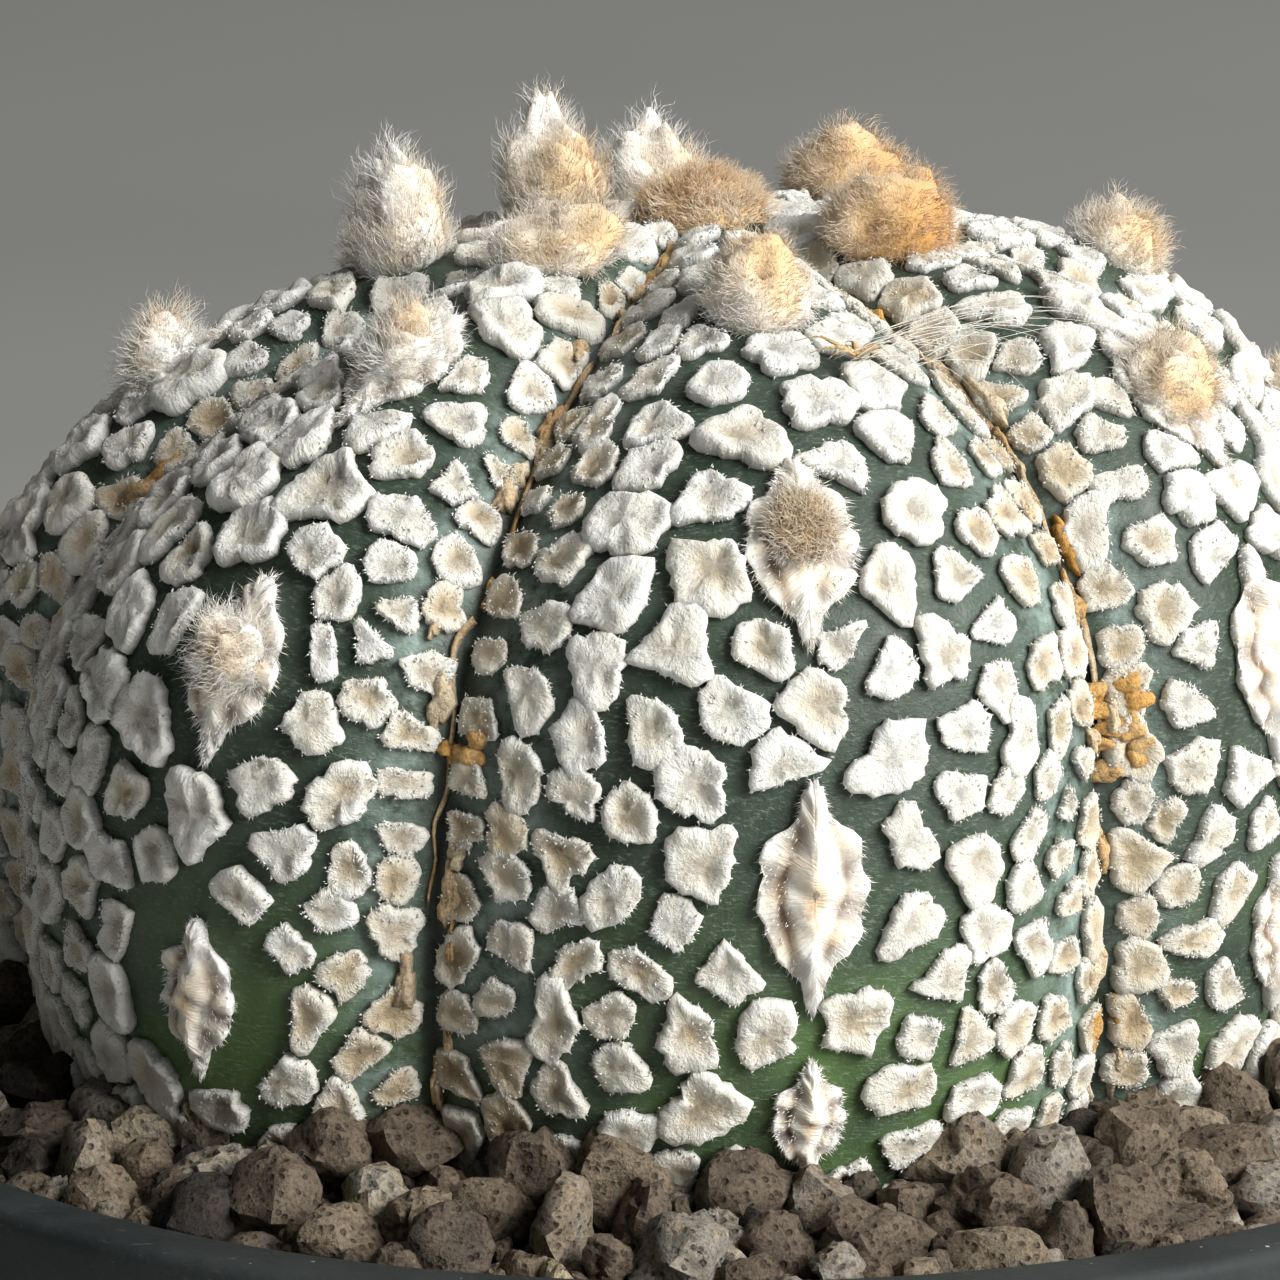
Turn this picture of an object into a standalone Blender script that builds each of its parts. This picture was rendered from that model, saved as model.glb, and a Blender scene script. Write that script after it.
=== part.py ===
"""Potted star cactus: a ribbed, nearly globular stem in a round plastic pot, with wool, soil and stones.

Metres, +Z up. The origin is the centre of the pot's foot, on the surface that the pot stands on.
Azimuths are measured from -Y, the front, towards +X.
"""

import math
import random

import bmesh
import bpy
import numpy as np
from mathutils import Matrix, Vector

MM = 0.001
GAP = 0.3 * MM  # clearance that touching pieces keep

# Pot: a turned plastic shell with a rolled, flat-topped rim and a raised floor.
SEGMENTS = 64  # round the pot, the soil and the stem: 8 for each rib
POT_HEIGHT = 85 * MM
RIM_RADIUS = 50 * MM
RIM_INNER_RADIUS = 46.2 * MM
RIM_DEPTH = 11 * MM
RIM_ROUNDING = 0.7 * MM
WALL = 1.6 * MM
WALL_TOP_RADIUS = 47.0 * MM  # outside of the wall, just under the rim
FOOT_RADIUS = 34 * MM
FOOT_WIDTH = 4.5 * MM
FLOOR_HEIGHT = 3.0 * MM  # underside of the floor above the foot
FLOOR_THICKNESS = 2.0 * MM
CENTRE_DRAIN_RADIUS = 4.5 * MM
RING_DRAIN_RADIUS = 3.0 * MM
RING_DRAIN_CIRCLE = 18 * MM
RING_DRAINS = 6

# Potting mix: it fills the pot to just under the rim.
SOIL_LEVEL = POT_HEIGHT - 1.8 * MM

# Stem: eight broad ribs round a flattened globe, seated in the soil.
RIBS = 8
FRONT_RIB_AZIMUTH = math.radians(7.5)
EQUATOR_HEIGHT = POT_HEIGHT + 17.1 * MM
EQUATOR_RADIUS = 36.8 * MM
CROWN_RISE = 26.3 * MM  # from the equator up to the crown
BASE_DROP = 30 * MM  # from the equator down to the buried base
BASE_FULLNESS = 3.0  # superellipse exponent under the equator
SHOULDER_FULLNESS = 2.5  # mean exponent above the equator
SHOULDER_SIDE = 0.5  # the right shoulder is squarer than the left one by this much either way
GROOVE_DEPTH = 4.0 * MM
SWELL = 0.08  # the front left of the stem is fuller than the mean
SWELL_AZIMUTH = math.radians(-58)
RIB_SPREAD = 0.36  # how far the front ribs widen towards the base, in radians
SPREAD_END = math.radians(125)  # polar angle at which the spread is full
CREST_LEAN = 0.7  # how far the side ribs' crests lie towards the front, in half widths of a rib
SOIL_LINE = math.radians(119)  # polar angle from the crown at which the stem enters the soil
RINGS_ABOVE = 11  # rings of the stem's mesh above and below the soil line
RINGS_BELOW = 5

# Areole wool: azimuth index of the rib, then the polar angle of each areole from the crown, in degrees.
AREOLE_ANGLES = {
    0: (40, 66, 91, 108),
    1: (25, 56, 78, 101),
    2: (44, 66, 86, 106),
    3: (28, 54, 77, 100),
    4: (38, 62, 84, 105),
    5: (21, 47, 73, 98),
    6: (33, 57, 80, 103),
    7: (26, 49, 77, 101),
}
YOUNG_TUFT = (6.0 * MM, 6.0 * MM, 6.2 * MM)  # across, along and out from the rib's crest
MIDDLE_TUFT = (5.4 * MM, 6.2 * MM, 3.6 * MM)
OLD_TUFT = (5.0 * MM, 8.6 * MM, 1.9 * MM)
BASE_TUFT = (3.6 * MM, 5.0 * MM, 1.4 * MM)
CROWN_WOOL = (7.4 * MM, 7.0 * MM, 3.2 * MM)

# Dried flower remnant beside the front rib's youngest areole.
REMNANT_ANGLE = math.radians(49)
REMNANT_AZIMUTH = FRONT_RIB_AZIMUTH + math.radians(8)
REMNANT_SIZE = (1.6 * MM, 5.4 * MM, 0.8 * MM)

# Stones on top of the soil.
STONES = 20
STONE_RADIUS = (1.9 * MM, 2.7 * MM)
STONE_CIRCLE = (39.9 * MM, 41.6 * MM)
STONE_SEED = 7


def clear_scene():
    """Remove whatever the file opened with."""
    for thing in list(bpy.data.objects):
        bpy.data.objects.remove(thing)


def material(name, colour, roughness):
    """Principled material of one colour and roughness."""
    made = bpy.data.materials.new(name)
    made.use_nodes = True
    shader = made.node_tree.nodes["Principled BSDF"]
    shader.inputs["Base Color"].default_value = (*colour, 1.0)
    shader.inputs["Roughness"].default_value = roughness
    shader.inputs["Metallic"].default_value = 0.0
    return made


def add_object(name, mesh, finish):
    """Link a mesh as a named, smooth-shaded object with one finish."""
    mesh.materials.append(finish)
    mesh.shade_smooth()
    mesh.set_sharp_from_angle(angle=math.radians(40))
    made = bpy.data.objects.new(name, mesh)
    bpy.context.scene.collection.objects.link(made)
    return made


def finish_mesh(name, bm):
    """Turn a bmesh's faces outwards and store it as a mesh."""
    bmesh.ops.recalc_face_normals(bm, faces=bm.faces)
    mesh = bpy.data.meshes.new(name)
    bm.to_mesh(mesh)
    bm.free()
    return mesh


def arc(centre_r, centre_z, radius, start, end, steps):
    """Points of a profile's arc, as (r, z), from one angle to another in degrees."""
    angles = [math.radians(start + (end - start) * k / steps) for k in range(steps + 1)]
    return [(centre_r + radius * math.cos(a), centre_z + radius * math.sin(a)) for a in angles]


def wall_radius(height):
    """Outside radius of the pot's tapered wall at a height."""
    rim_underside = POT_HEIGHT - RIM_DEPTH
    return FOOT_RADIUS + (WALL_TOP_RADIUS - FOOT_RADIUS) * height / rim_underside


def inner_radius(height):
    """Inside radius of the pot: the wall's inside, and the rim's inner face above it."""
    return min(wall_radius(height) - WALL, RIM_INNER_RADIUS)


def pot_profile():
    """Closed outline of the pot's wall, floor, foot and rim, as (r, z)."""
    foot_inner = FOOT_RADIUS - FOOT_WIDTH
    floor_top = FLOOR_HEIGHT + FLOOR_THICKNESS
    rim_underside = POT_HEIGHT - RIM_DEPTH
    outline = [
        (CENTRE_DRAIN_RADIUS, FLOOR_HEIGHT),
        (foot_inner - 1.0 * MM, FLOOR_HEIGHT),
        (foot_inner, 0.0),
        (FOOT_RADIUS - 0.6 * MM, 0.0),
        (FOOT_RADIUS, 0.6 * MM),
        (wall_radius(rim_underside - 1.2 * MM), rim_underside - 1.2 * MM),
        (RIM_RADIUS - 1.0 * MM, rim_underside),
    ]
    outline += arc(RIM_RADIUS - RIM_ROUNDING, POT_HEIGHT - RIM_ROUNDING, RIM_ROUNDING, 0, 90, 2)
    outline += arc(RIM_INNER_RADIUS + RIM_ROUNDING, POT_HEIGHT - RIM_ROUNDING, RIM_ROUNDING, 90, 180, 2)
    bend_height = (RIM_INNER_RADIUS + WALL - FOOT_RADIUS) / (WALL_TOP_RADIUS - FOOT_RADIUS) * rim_underside
    if bend_height < POT_HEIGHT - 2 * MM:
        outline.append((RIM_INNER_RADIUS, bend_height))
    outline += [
        (inner_radius(floor_top + 2 * MM), floor_top + 2 * MM),
        (inner_radius(floor_top) - 2 * MM, floor_top),
        (CENTRE_DRAIN_RADIUS, floor_top),
    ]
    return outline


def make_pot(finish):
    """Turn the pot's outline round the axis and cut the ring of drain holes through its floor."""
    bm = bmesh.new()
    corners = [bm.verts.new((r, 0.0, z)) for r, z in pot_profile()]
    edges = [bm.edges.new((a, b)) for a, b in zip(corners, corners[1:] + corners[:1])]
    bmesh.ops.spin(
        bm,
        geom=corners + edges,
        cent=(0, 0, 0),
        axis=(0, 0, 1),
        angle=2 * math.pi,
        steps=SEGMENTS,
        use_merge=True,
        use_duplicate=False,
    )
    bmesh.ops.remove_doubles(bm, verts=bm.verts, dist=0.01 * MM)
    pot = add_object("pot", finish_mesh("pot", bm), finish)
    for k in range(RING_DRAINS):
        azimuth = 2 * math.pi * (k + 0.5) / RING_DRAINS
        drill = drain_drill(f"drill_{k + 1}", azimuth)
        cut = pot.modifiers.new(drill.name, "BOOLEAN")
        cut.operation = "DIFFERENCE"
        cut.object = drill
    return pot


def drain_drill(name, azimuth):
    """Upright cylinder that cuts one drain hole; it is a cutter and isn't part of the model."""
    bm = bmesh.new()
    bmesh.ops.create_cone(
        bm,
        cap_ends=True,
        segments=14,
        radius1=RING_DRAIN_RADIUS,
        radius2=RING_DRAIN_RADIUS,
        depth=4 * FLOOR_THICKNESS,
    )
    drill = bpy.data.objects.new(name, finish_mesh(name, bm))
    drill.location = (
        RING_DRAIN_CIRCLE * math.sin(azimuth),
        -RING_DRAIN_CIRCLE * math.cos(azimuth),
        FLOOR_HEIGHT + FLOOR_THICKNESS / 2,
    )
    drill.hide_render = True
    drill.display_type = "WIRE"
    bpy.context.scene.collection.objects.link(drill)
    return drill


def smooth_rise(x):
    """Smooth step from 0 to 1 as x goes from 0 to 1."""
    x = np.clip(x, 0.0, 1.0)
    return x * x * (3 - 2 * x)


def crest_lean(middle, polar):
    """How far a rib's crest lies from its middle, in half widths, for the azimuth of its middle."""
    return -CREST_LEAN * np.sin(middle) * np.cos(middle / 2) ** 2 * smooth_rise(polar / (math.pi / 2))


def crest_azimuth(rib, polar):
    """Unspread azimuth of a rib's crest at a polar angle."""
    middle = 2 * math.pi * rib / RIBS
    return FRONT_RIB_AZIMUTH + middle + crest_lean(middle, polar) * math.pi / RIBS


def skin_point(polar, azimuth, outset=0.0):
    """Point on the stem for a polar angle from the crown and an unspread azimuth, as (x, y, z) arrays.

    A superellipse gives the crest. Each rib falls away to its grooves along the crest's own normal,
    about as the square of the distance from its crest.
    """
    polar, azimuth = np.broadcast_arrays(np.asarray(polar, float), np.asarray(azimuth, float))
    offset = azimuth - FRONT_RIB_AZIMUTH
    spread = RIB_SPREAD * smooth_rise(polar / SPREAD_END)
    turned = azimuth + spread * np.sin(offset)
    above = polar <= math.pi / 2
    fullness = np.where(above, SHOULDER_FULLNESS + SHOULDER_SIDE * np.sin(turned), BASE_FULLNESS)
    rise = np.where(above, CROWN_RISE, BASE_DROP)
    radius = EQUATOR_RADIUS * (1 + SWELL * np.cos(turned - SWELL_AZIMUTH))
    sine, cosine = np.sin(polar), np.cos(polar)
    across, up = np.abs(sine / radius), np.abs(cosine / rise)
    reach = (across**fullness + up**fullness) ** (-1 / fullness)
    normal_r = across ** (fullness - 1) / radius
    normal_z = np.sign(cosine) * up ** (fullness - 1) / rise
    length = np.hypot(normal_r, normal_z)
    half_width = math.pi / RIBS
    middle = 2 * half_width * np.floor(offset / (2 * half_width) + 0.5)
    lean = crest_lean(middle, polar)
    across_rib = (offset - middle) / half_width
    from_crest = np.where(across_rib > lean, (across_rib - lean) / (1 - lean), (lean - across_rib) / (1 + lean))
    sunk = GROOVE_DEPTH * np.clip(sine, 0, 1) ** 0.8 * np.clip(from_crest, 0, 1) ** 2.2
    r = reach * sine + (outset - sunk) * normal_r / length
    z = reach * cosine + (outset - sunk) * normal_z / length
    r = np.maximum(r, 0.0)
    return r * np.sin(turned), -r * np.cos(turned), EQUATOR_HEIGHT + z


def ring_points(polar, outset=0.0):
    """One ring of the stem's surface, as a list of SEGMENTS points."""
    azimuths = FRONT_RIB_AZIMUTH + 2 * math.pi * np.arange(SEGMENTS) / SEGMENTS
    return list(zip(*skin_point(polar, azimuths, outset)))


def pot_ring(radius, height):
    """One level ring of radius and height, with a point beside each point of the stem's rings."""
    azimuths = [FRONT_RIB_AZIMUTH + 2 * math.pi * k / SEGMENTS for k in range(SEGMENTS)]
    return [(radius * math.sin(a), -radius * math.cos(a), height) for a in azimuths]


def stacked_rings(name, first_pole, rings, last_pole):
    """Closed mesh from a pole, through rings of SEGMENTS points each, to another pole."""
    bm = bmesh.new()
    top = bm.verts.new(first_pole)
    bottom = bm.verts.new(last_pole)
    loops = [[bm.verts.new(p) for p in ring] for ring in rings]
    for k in range(SEGMENTS):
        after = (k + 1) % SEGMENTS
        bm.faces.new((top, loops[0][k], loops[0][after]))
        bm.faces.new((bottom, loops[-1][after], loops[-1][k]))
        for upper, lower in zip(loops, loops[1:]):
            bm.faces.new((upper[k], lower[k], lower[after], upper[after]))
    bmesh.ops.triangulate(bm, faces=bm.faces)
    return finish_mesh(name, bm)


def buried_angles():
    """Polar angles of the stem's rings from the soil line down to near its base."""
    last = math.radians(170)
    return [SOIL_LINE + (last - SOIL_LINE) * k / RINGS_BELOW for k in range(RINGS_BELOW + 1)]


def make_stem(finish):
    """The whole stem, from its crown to its buried base, as one solid."""
    first = math.radians(7)
    above = [first + (SOIL_LINE - first) * k / RINGS_ABOVE for k in range(RINGS_ABOVE)]
    rings = [ring_points(polar) for polar in above + buried_angles()]
    crown = (0.0, 0.0, EQUATOR_HEIGHT + CROWN_RISE)
    base = (0.0, 0.0, EQUATOR_HEIGHT - BASE_DROP)
    return add_object("stem", stacked_rings("stem", crown, rings, base), finish)


def make_soil(finish):
    """The potting mix: it fills the pot and has a bowl in which the stem is seated."""
    floor = FLOOR_HEIGHT + FLOOR_THICKNESS + GAP
    bowl = [ring_points(polar, GAP) for polar in reversed(buried_angles())]
    lip = [(x, y, SOIL_LEVEL) for x, y, _ in ring_points(SOIL_LINE, GAP + 0.8 * MM)]
    wall_heights = [SOIL_LEVEL, POT_HEIGHT / 2, floor + 2.4 * MM]
    outside = [pot_ring(inner_radius(height) - GAP, height) for height in wall_heights]
    outside.append(pot_ring(inner_radius(floor) - GAP - 2.4 * MM, floor))
    bowl_pole = (0.0, 0.0, EQUATOR_HEIGHT - BASE_DROP - GAP)
    mesh = stacked_rings("potting_mix", bowl_pole, bowl + [lip] + outside, (0.0, 0.0, floor))
    return add_object("potting_mix", mesh, finish)


def skin_frame(polar, azimuth):
    """Place on the skin with its axes: X across the rib, Y up the rib towards the crown, Z outwards."""
    step = math.radians(0.5)
    here = Vector(float(v) for v in skin_point(polar, azimuth))
    upward = Vector(float(v) for v in skin_point(polar - step, azimuth)) - here
    sideways = Vector(float(v) for v in skin_point(polar, azimuth + step)) - here
    outward = sideways.cross(upward).normalized()
    upward.normalize()
    sideways = upward.cross(outward)
    frame = Matrix((sideways, upward, outward)).transposed().to_4x4()
    frame.translation = here
    return frame


def tuft_mesh(name, size, point=0.0, lumps=0.08):
    """Closed mound on a flat underside: size is (across, along, out), point draws its two ends in."""
    bm = bmesh.new()
    bmesh.ops.create_icosphere(bm, subdivisions=2, radius=1.0)
    width, length, height = size
    for corner in bm.verts:
        x, y, z = corner.co
        bulge = 1 + lumps * math.sin(5 * x + 2 * y) * math.cos(4 * y - 3 * z)
        narrowing = 1 - point * abs(y)
        corner.co = (
            x * bulge * narrowing * width / 2,
            y * length / 2,
            max(z, -0.12) * bulge * height,
        )
    lowest = min(corner.co.z for corner in bm.verts)
    bmesh.ops.translate(bm, verts=bm.verts, vec=(0, 0, GAP - lowest))
    return finish_mesh(name, bm)


def seat_on_skin(name, mesh, polar, azimuth, finish):
    """Put a mound on the skin, its flat side a gap away from the surface."""
    made = add_object(name, mesh, finish)
    made.matrix_world = skin_frame(polar, azimuth)
    return made


def make_areoles(finish):
    """The wool of every areole: full tufts near the crown, flat felted ones lower on each rib."""
    kinds = ((YOUNG_TUFT, 0.0), (MIDDLE_TUFT, 0.15), (OLD_TUFT, 0.55), (BASE_TUFT, 0.5))
    for rib, angles in AREOLE_ANGLES.items():
        for row, (angle, (size, point)) in enumerate(zip(angles, kinds)):
            name = f"areole_{rib + 1}_{row + 1}"
            polar = math.radians(angle)
            seat_on_skin(name, tuft_mesh(name, size, point), polar, crest_azimuth(rib, polar), finish)


def make_crown_wool(finish):
    """The mat of young wool over the growing point."""
    made = add_object("crown_wool", tuft_mesh("crown_wool", CROWN_WOOL), finish)
    made.location = (0, 0, EQUATOR_HEIGHT + CROWN_RISE)
    return made


def make_remnant(finish):
    """The dried base of a flower, caught beside a young areole."""
    mesh = tuft_mesh("flower_remnant", REMNANT_SIZE, point=0.5)
    return seat_on_skin("flower_remnant", mesh, REMNANT_ANGLE, REMNANT_AZIMUTH, finish)


def make_stones(finish):
    """Loose stones on the soil between the stem and the rim."""
    chance = random.Random(STONE_SEED)
    for k in range(STONES):
        bm = bmesh.new()
        bmesh.ops.create_icosphere(bm, subdivisions=2, radius=1.0)
        radius = chance.uniform(*STONE_RADIUS)
        stretch = (1.0, chance.uniform(0.8, 0.95), chance.uniform(0.7, 0.9))
        for corner in bm.verts:
            rough = radius * chance.uniform(0.9, 1.02)
            corner.co = Vector(c * rough * s for c, s in zip(corner.co, stretch))
        azimuth = 2 * math.pi * (k + chance.uniform(-0.12, 0.12)) / STONES
        circle = chance.uniform(*STONE_CIRCLE)
        bmesh.ops.rotate(bm, verts=bm.verts, cent=(0, 0, 0), matrix=Matrix.Rotation(chance.uniform(0, 6), 3, "Z"))
        lowest = min(corner.co.z for corner in bm.verts)
        stone = add_object(f"stone_{k + 1:02d}", finish_mesh(f"stone_{k + 1:02d}", bm), finish)
        stone.location = (circle * math.sin(azimuth), -circle * math.cos(azimuth), SOIL_LEVEL + GAP - lowest)


def main():
    """Build every piece of the potted plant."""
    clear_scene()
    plastic = material("pot_plastic", (0.036, 0.042, 0.044), 0.5)
    soil = material("potting_mix", (0.09, 0.068, 0.05), 0.95)
    skin = material("stem_skin", (0.05, 0.075, 0.035), 0.55)
    wool = material("areole_wool", (0.62, 0.5, 0.34), 0.95)
    papery = material("dried_flower", (0.6, 0.48, 0.28), 0.9)
    gravel = material("gravel", (0.2, 0.155, 0.115), 0.9)
    make_pot(plastic)
    make_soil(soil)
    make_stem(skin)
    make_crown_wool(wool)
    make_areoles(wool)
    make_remnant(papery)
    make_stones(gravel)


main()
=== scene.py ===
"""Looks of the potted star cactus: skin, woolly flecks, areole wool, stones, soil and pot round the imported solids.

Lengths are metres. Azimuths are measured from -Y, the front, towards +X; polar angles are measured from the crown.
"""

import logging
import math
from dataclasses import dataclass, field
from enum import Enum

import bpy
import numpy as np
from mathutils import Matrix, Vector


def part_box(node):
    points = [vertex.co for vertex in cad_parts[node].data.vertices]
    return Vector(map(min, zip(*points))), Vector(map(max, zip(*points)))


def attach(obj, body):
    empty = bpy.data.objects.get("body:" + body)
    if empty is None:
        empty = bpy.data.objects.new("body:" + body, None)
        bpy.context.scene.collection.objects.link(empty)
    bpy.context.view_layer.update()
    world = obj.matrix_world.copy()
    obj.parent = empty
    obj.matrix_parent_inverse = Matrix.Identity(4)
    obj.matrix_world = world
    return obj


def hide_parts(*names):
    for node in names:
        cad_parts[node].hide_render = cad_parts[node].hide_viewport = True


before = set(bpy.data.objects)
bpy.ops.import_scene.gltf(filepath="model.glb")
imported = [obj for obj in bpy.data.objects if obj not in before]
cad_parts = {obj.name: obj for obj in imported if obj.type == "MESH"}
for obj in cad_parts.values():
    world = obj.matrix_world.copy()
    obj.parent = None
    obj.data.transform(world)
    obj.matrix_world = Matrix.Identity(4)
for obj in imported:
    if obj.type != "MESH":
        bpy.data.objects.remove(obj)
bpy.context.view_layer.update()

MM = 0.001
BODY = "root"
CURL_ANGLE = 5.5  # how far a curly hair turns round its own line, in radians
SOIL_DROP = 1.8 * MM  # how far the soil lies under the pot's rim
Socket = bpy.types.NodeSocket
log = logging.getLogger("star_cactus")


# ---------------------------------------------------------------- meshes


def unit(vectors: np.ndarray) -> np.ndarray:
    """Vectors scaled to length one along their last axis."""
    return vectors / np.maximum(np.linalg.norm(vectors, axis=-1, keepdims=True), 1e-12)


def smooth_rise(x: np.ndarray) -> np.ndarray:
    """Smooth step from 0 to 1 as x goes from 0 to 1."""
    x = np.clip(x, 0.0, 1.0)
    return x * x * (3 - 2 * x)


def lattice_noise(points: np.ndarray, seed: int) -> np.ndarray:
    """Value noise: hashed values at whole-number corners, blended smoothly between them.

    Args:
        points: positions, with x, y and z on the last axis, in lattice cells.
        seed: number that picks the pattern.

    Returns:
        One value for each position, from -1 to 1.
    """
    cell = np.floor(points).astype(np.int64)
    blend = smooth_rise(points - cell)
    total = np.zeros(points.shape[:-1])
    for corner in np.ndindex(2, 2, 2):
        at = cell + np.array(corner)
        mixed = at[..., 0] * 73856093 ^ at[..., 1] * 19349663 ^ at[..., 2] * 83492791 ^ seed * 2654435761
        mixed = (mixed ^ (mixed >> 13)) * 1274126177
        value = ((mixed ^ (mixed >> 16)) & 0xFFFF) / 32767.5 - 1.0
        weight = np.prod(np.where(np.array(corner) == 1, blend, 1 - blend), axis=-1)
        total += weight * value
    return total


def cloud_noise(points: np.ndarray, size: float, octaves: int, seed: int) -> np.ndarray:
    """Sum of lattice noises, each half as large and twice as fine as the one before.

    Args:
        points: positions in metres.
        size: width of the coarsest lumps in metres.
        octaves: how many noises are added.
        seed: number that picks the pattern.

    Returns:
        One value for each position, from about -1 to 1.
    """
    total = np.zeros(points.shape[:-1])
    for k in range(octaves):
        total += lattice_noise(points * 2**k / size + 17.3 * k, seed + k) * 0.5**k
    return total / 1.5


def grid_quads(rows: int, columns: int, closed: bool) -> np.ndarray:
    """Quads between neighbouring rows of a grid of points; closed joins the last column to the first.

    Args:
        rows: number of rows of points.
        columns: number of points in each row.
        closed: True if each row is a ring.

    Returns:
        Corner indices, four for each quad.
    """
    row, column = np.meshgrid(np.arange(rows - 1), np.arange(columns if closed else columns - 1), indexing="ij")
    after = (column + 1) % columns
    first = row * columns
    quads = np.stack([first + column, first + columns + column, first + columns + after, first + after], -1)
    return quads.reshape(-1, 4)


def repeated(faces: np.ndarray, copies: int, stride: int) -> np.ndarray:
    """The same faces for each of many copies of a shape whose points follow each other by a stride."""
    shifted = faces[None] + (np.arange(copies) * stride)[:, None, None]
    return shifted.reshape(-1, faces.shape[-1])


def turns(count: int) -> np.ndarray:
    """Angles at even steps round a circle."""
    return np.linspace(0, 2 * math.pi, count, endpoint=False)


def shell_faces(rings: int, around: int, count: int = 1) -> tuple[np.ndarray, np.ndarray]:
    """Faces of closed shells whose points are rings, from the upper pole down, then the upper and the lower pole.

    Args:
        rings: rings of points in each shell.
        around: points in each ring.
        count: number of shells.

    Returns:
        The quads between the rings, and the triangles round the poles.
    """
    here = np.arange(around)
    after = (here + 1) % around
    first, last = rings * around, (rings - 1) * around
    top = np.stack([np.full_like(here, first), here, after], -1)
    bottom = np.stack([np.full_like(here, first + 1), last + after, last + here], -1)
    quads = repeated(grid_quads(rings, around, True), count, first + 2)
    return quads, repeated(np.concatenate([top, bottom]), count, first + 2)


@dataclass
class Piece:
    """Points, faces and point attributes of one finished mesh piece."""

    name: str
    points: np.ndarray
    quads: np.ndarray
    tris: np.ndarray
    tone: np.ndarray | None = None
    grain: np.ndarray | None = None

    def build(self, material: bpy.types.Material, slot: str, sharp: float = 180.0) -> bpy.types.Object:
        """Make the Blender object, dress it and let it ride on the pot's body.

        Args:
            material: finish of the whole piece.
            slot: not used.
            sharp: edge angle in degrees over which shading breaks.

        Returns:
            The linked object, at the origin.
        """
        mesh = bpy.data.meshes.new(self.name)
        quads, tris = self.quads.reshape(-1, 4), self.tris.reshape(-1, 3)
        corners = np.concatenate([quads.ravel(), tris.ravel()]).astype(np.int32)
        starts = np.concatenate([np.arange(len(quads)) * 4, quads.size + np.arange(len(tris)) * 3])
        mesh.vertices.add(len(self.points))
        mesh.vertices.foreach_set("co", self.points.astype(np.float32).ravel())
        mesh.loops.add(len(corners))
        mesh.loops.foreach_set("vertex_index", corners)
        mesh.polygons.add(len(starts))
        mesh.polygons.foreach_set("loop_start", starts.astype(np.int32))
        mesh.update(calc_edges=True)
        if self.tone is not None:
            colours = np.concatenate([self.tone, np.ones((len(self.points), 1))], axis=1)
            layer = mesh.attributes.new("tone", "FLOAT_COLOR", "POINT")
            layer.data.foreach_set("color", colours.astype(np.float32).ravel())
        if self.grain is not None:
            layer = mesh.attributes.new("grain", "FLOAT_VECTOR", "POINT")
            layer.data.foreach_set("vector", self.grain.astype(np.float32).ravel())
        mesh.materials.append(material)
        mesh.shade_smooth()
        if sharp < 180.0:
            mesh.set_sharp_from_angle(angle=math.radians(sharp))
        made = bpy.data.objects.new(self.name, mesh)
        bpy.context.scene.collection.objects.link(made)
        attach(made, BODY)
        log.info("%s: %d points, %d triangles", self.name, len(self.points), 2 * len(quads) + len(tris))
        return made


def joined(name: str, parts: list[Piece]) -> Piece:
    """One piece from several, which keep their own points.

    Args:
        name: name of the piece.
        parts: the pieces to join; they all have a tone and a grain, or none has.

    Returns:
        The joined piece.
    """
    counts = np.cumsum([0] + [len(part.points) for part in parts])
    return Piece(
        name,
        np.concatenate([part.points for part in parts]),
        np.concatenate([part.quads.reshape(-1, 4) + n for part, n in zip(parts, counts)]),
        np.concatenate([part.tris.reshape(-1, 3) + n for part, n in zip(parts, counts)]),
        None if parts[0].tone is None else np.concatenate([part.tone for part in parts]),
        None if parts[0].grain is None else np.concatenate([part.grain for part in parts]),
    )


def across_vectors(directions: np.ndarray) -> tuple[np.ndarray, np.ndarray]:
    """Two unit vectors at right angles to each direction and to each other.

    Args:
        directions: unit vectors.

    Returns:
        The two vectors for each direction.
    """
    helper = np.where(np.abs(directions[..., 2:3]) < 0.9, np.array([0.0, 0.0, 1.0]), np.array([1.0, 0.0, 0.0]))
    first = unit(np.cross(directions, helper))
    return first, np.cross(directions, first)


def triangle(first: np.ndarray, second: np.ndarray) -> np.ndarray:
    """Three directions at even steps round each hair, from two vectors across it."""
    angles = np.arange(3)[:, None] * 2 * math.pi / 3
    return first[:, None] * np.cos(angles) + second[:, None] * np.sin(angles)


def sway(points: np.ndarray, size: float, seed: int) -> np.ndarray:
    """Smoothly changing vectors: three lattice noises, one for each axis."""
    return np.stack([lattice_noise(points / size, seed + k) for k in range(3)], -1)


def curls(
    roots: np.ndarray,
    heading: np.ndarray,
    long: np.ndarray,
    phase: np.ndarray,
    steps: int,
    coil: float,
) -> np.ndarray:
    """Paths of curly hairs: straight along the heading, plus a turn round it that widens towards the tip.

    Args:
        roots: where each hair starts.
        heading: unit vector along each hair.
        long: length of each hair.
        phase: angle where each hair's turn starts, as a column.
        steps: number of points along each hair.
        coil: radius of the turn at the tip, as a share of the length.

    Returns:
        Points of each hair, as (hair, step, xyz).
    """
    along = np.linspace(0, 1, steps)[None]
    side, other = across_vectors(heading)
    wave = along * CURL_ANGLE + phase
    amount = coil * long[:, None] * along
    paths = roots[:, None] + heading[:, None] * (long[:, None] * along)[..., None]
    paths = paths + side[:, None] * (amount * np.cos(wave))[..., None]
    return paths + other[:, None] * (amount * np.sin(wave))[..., None]


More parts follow.
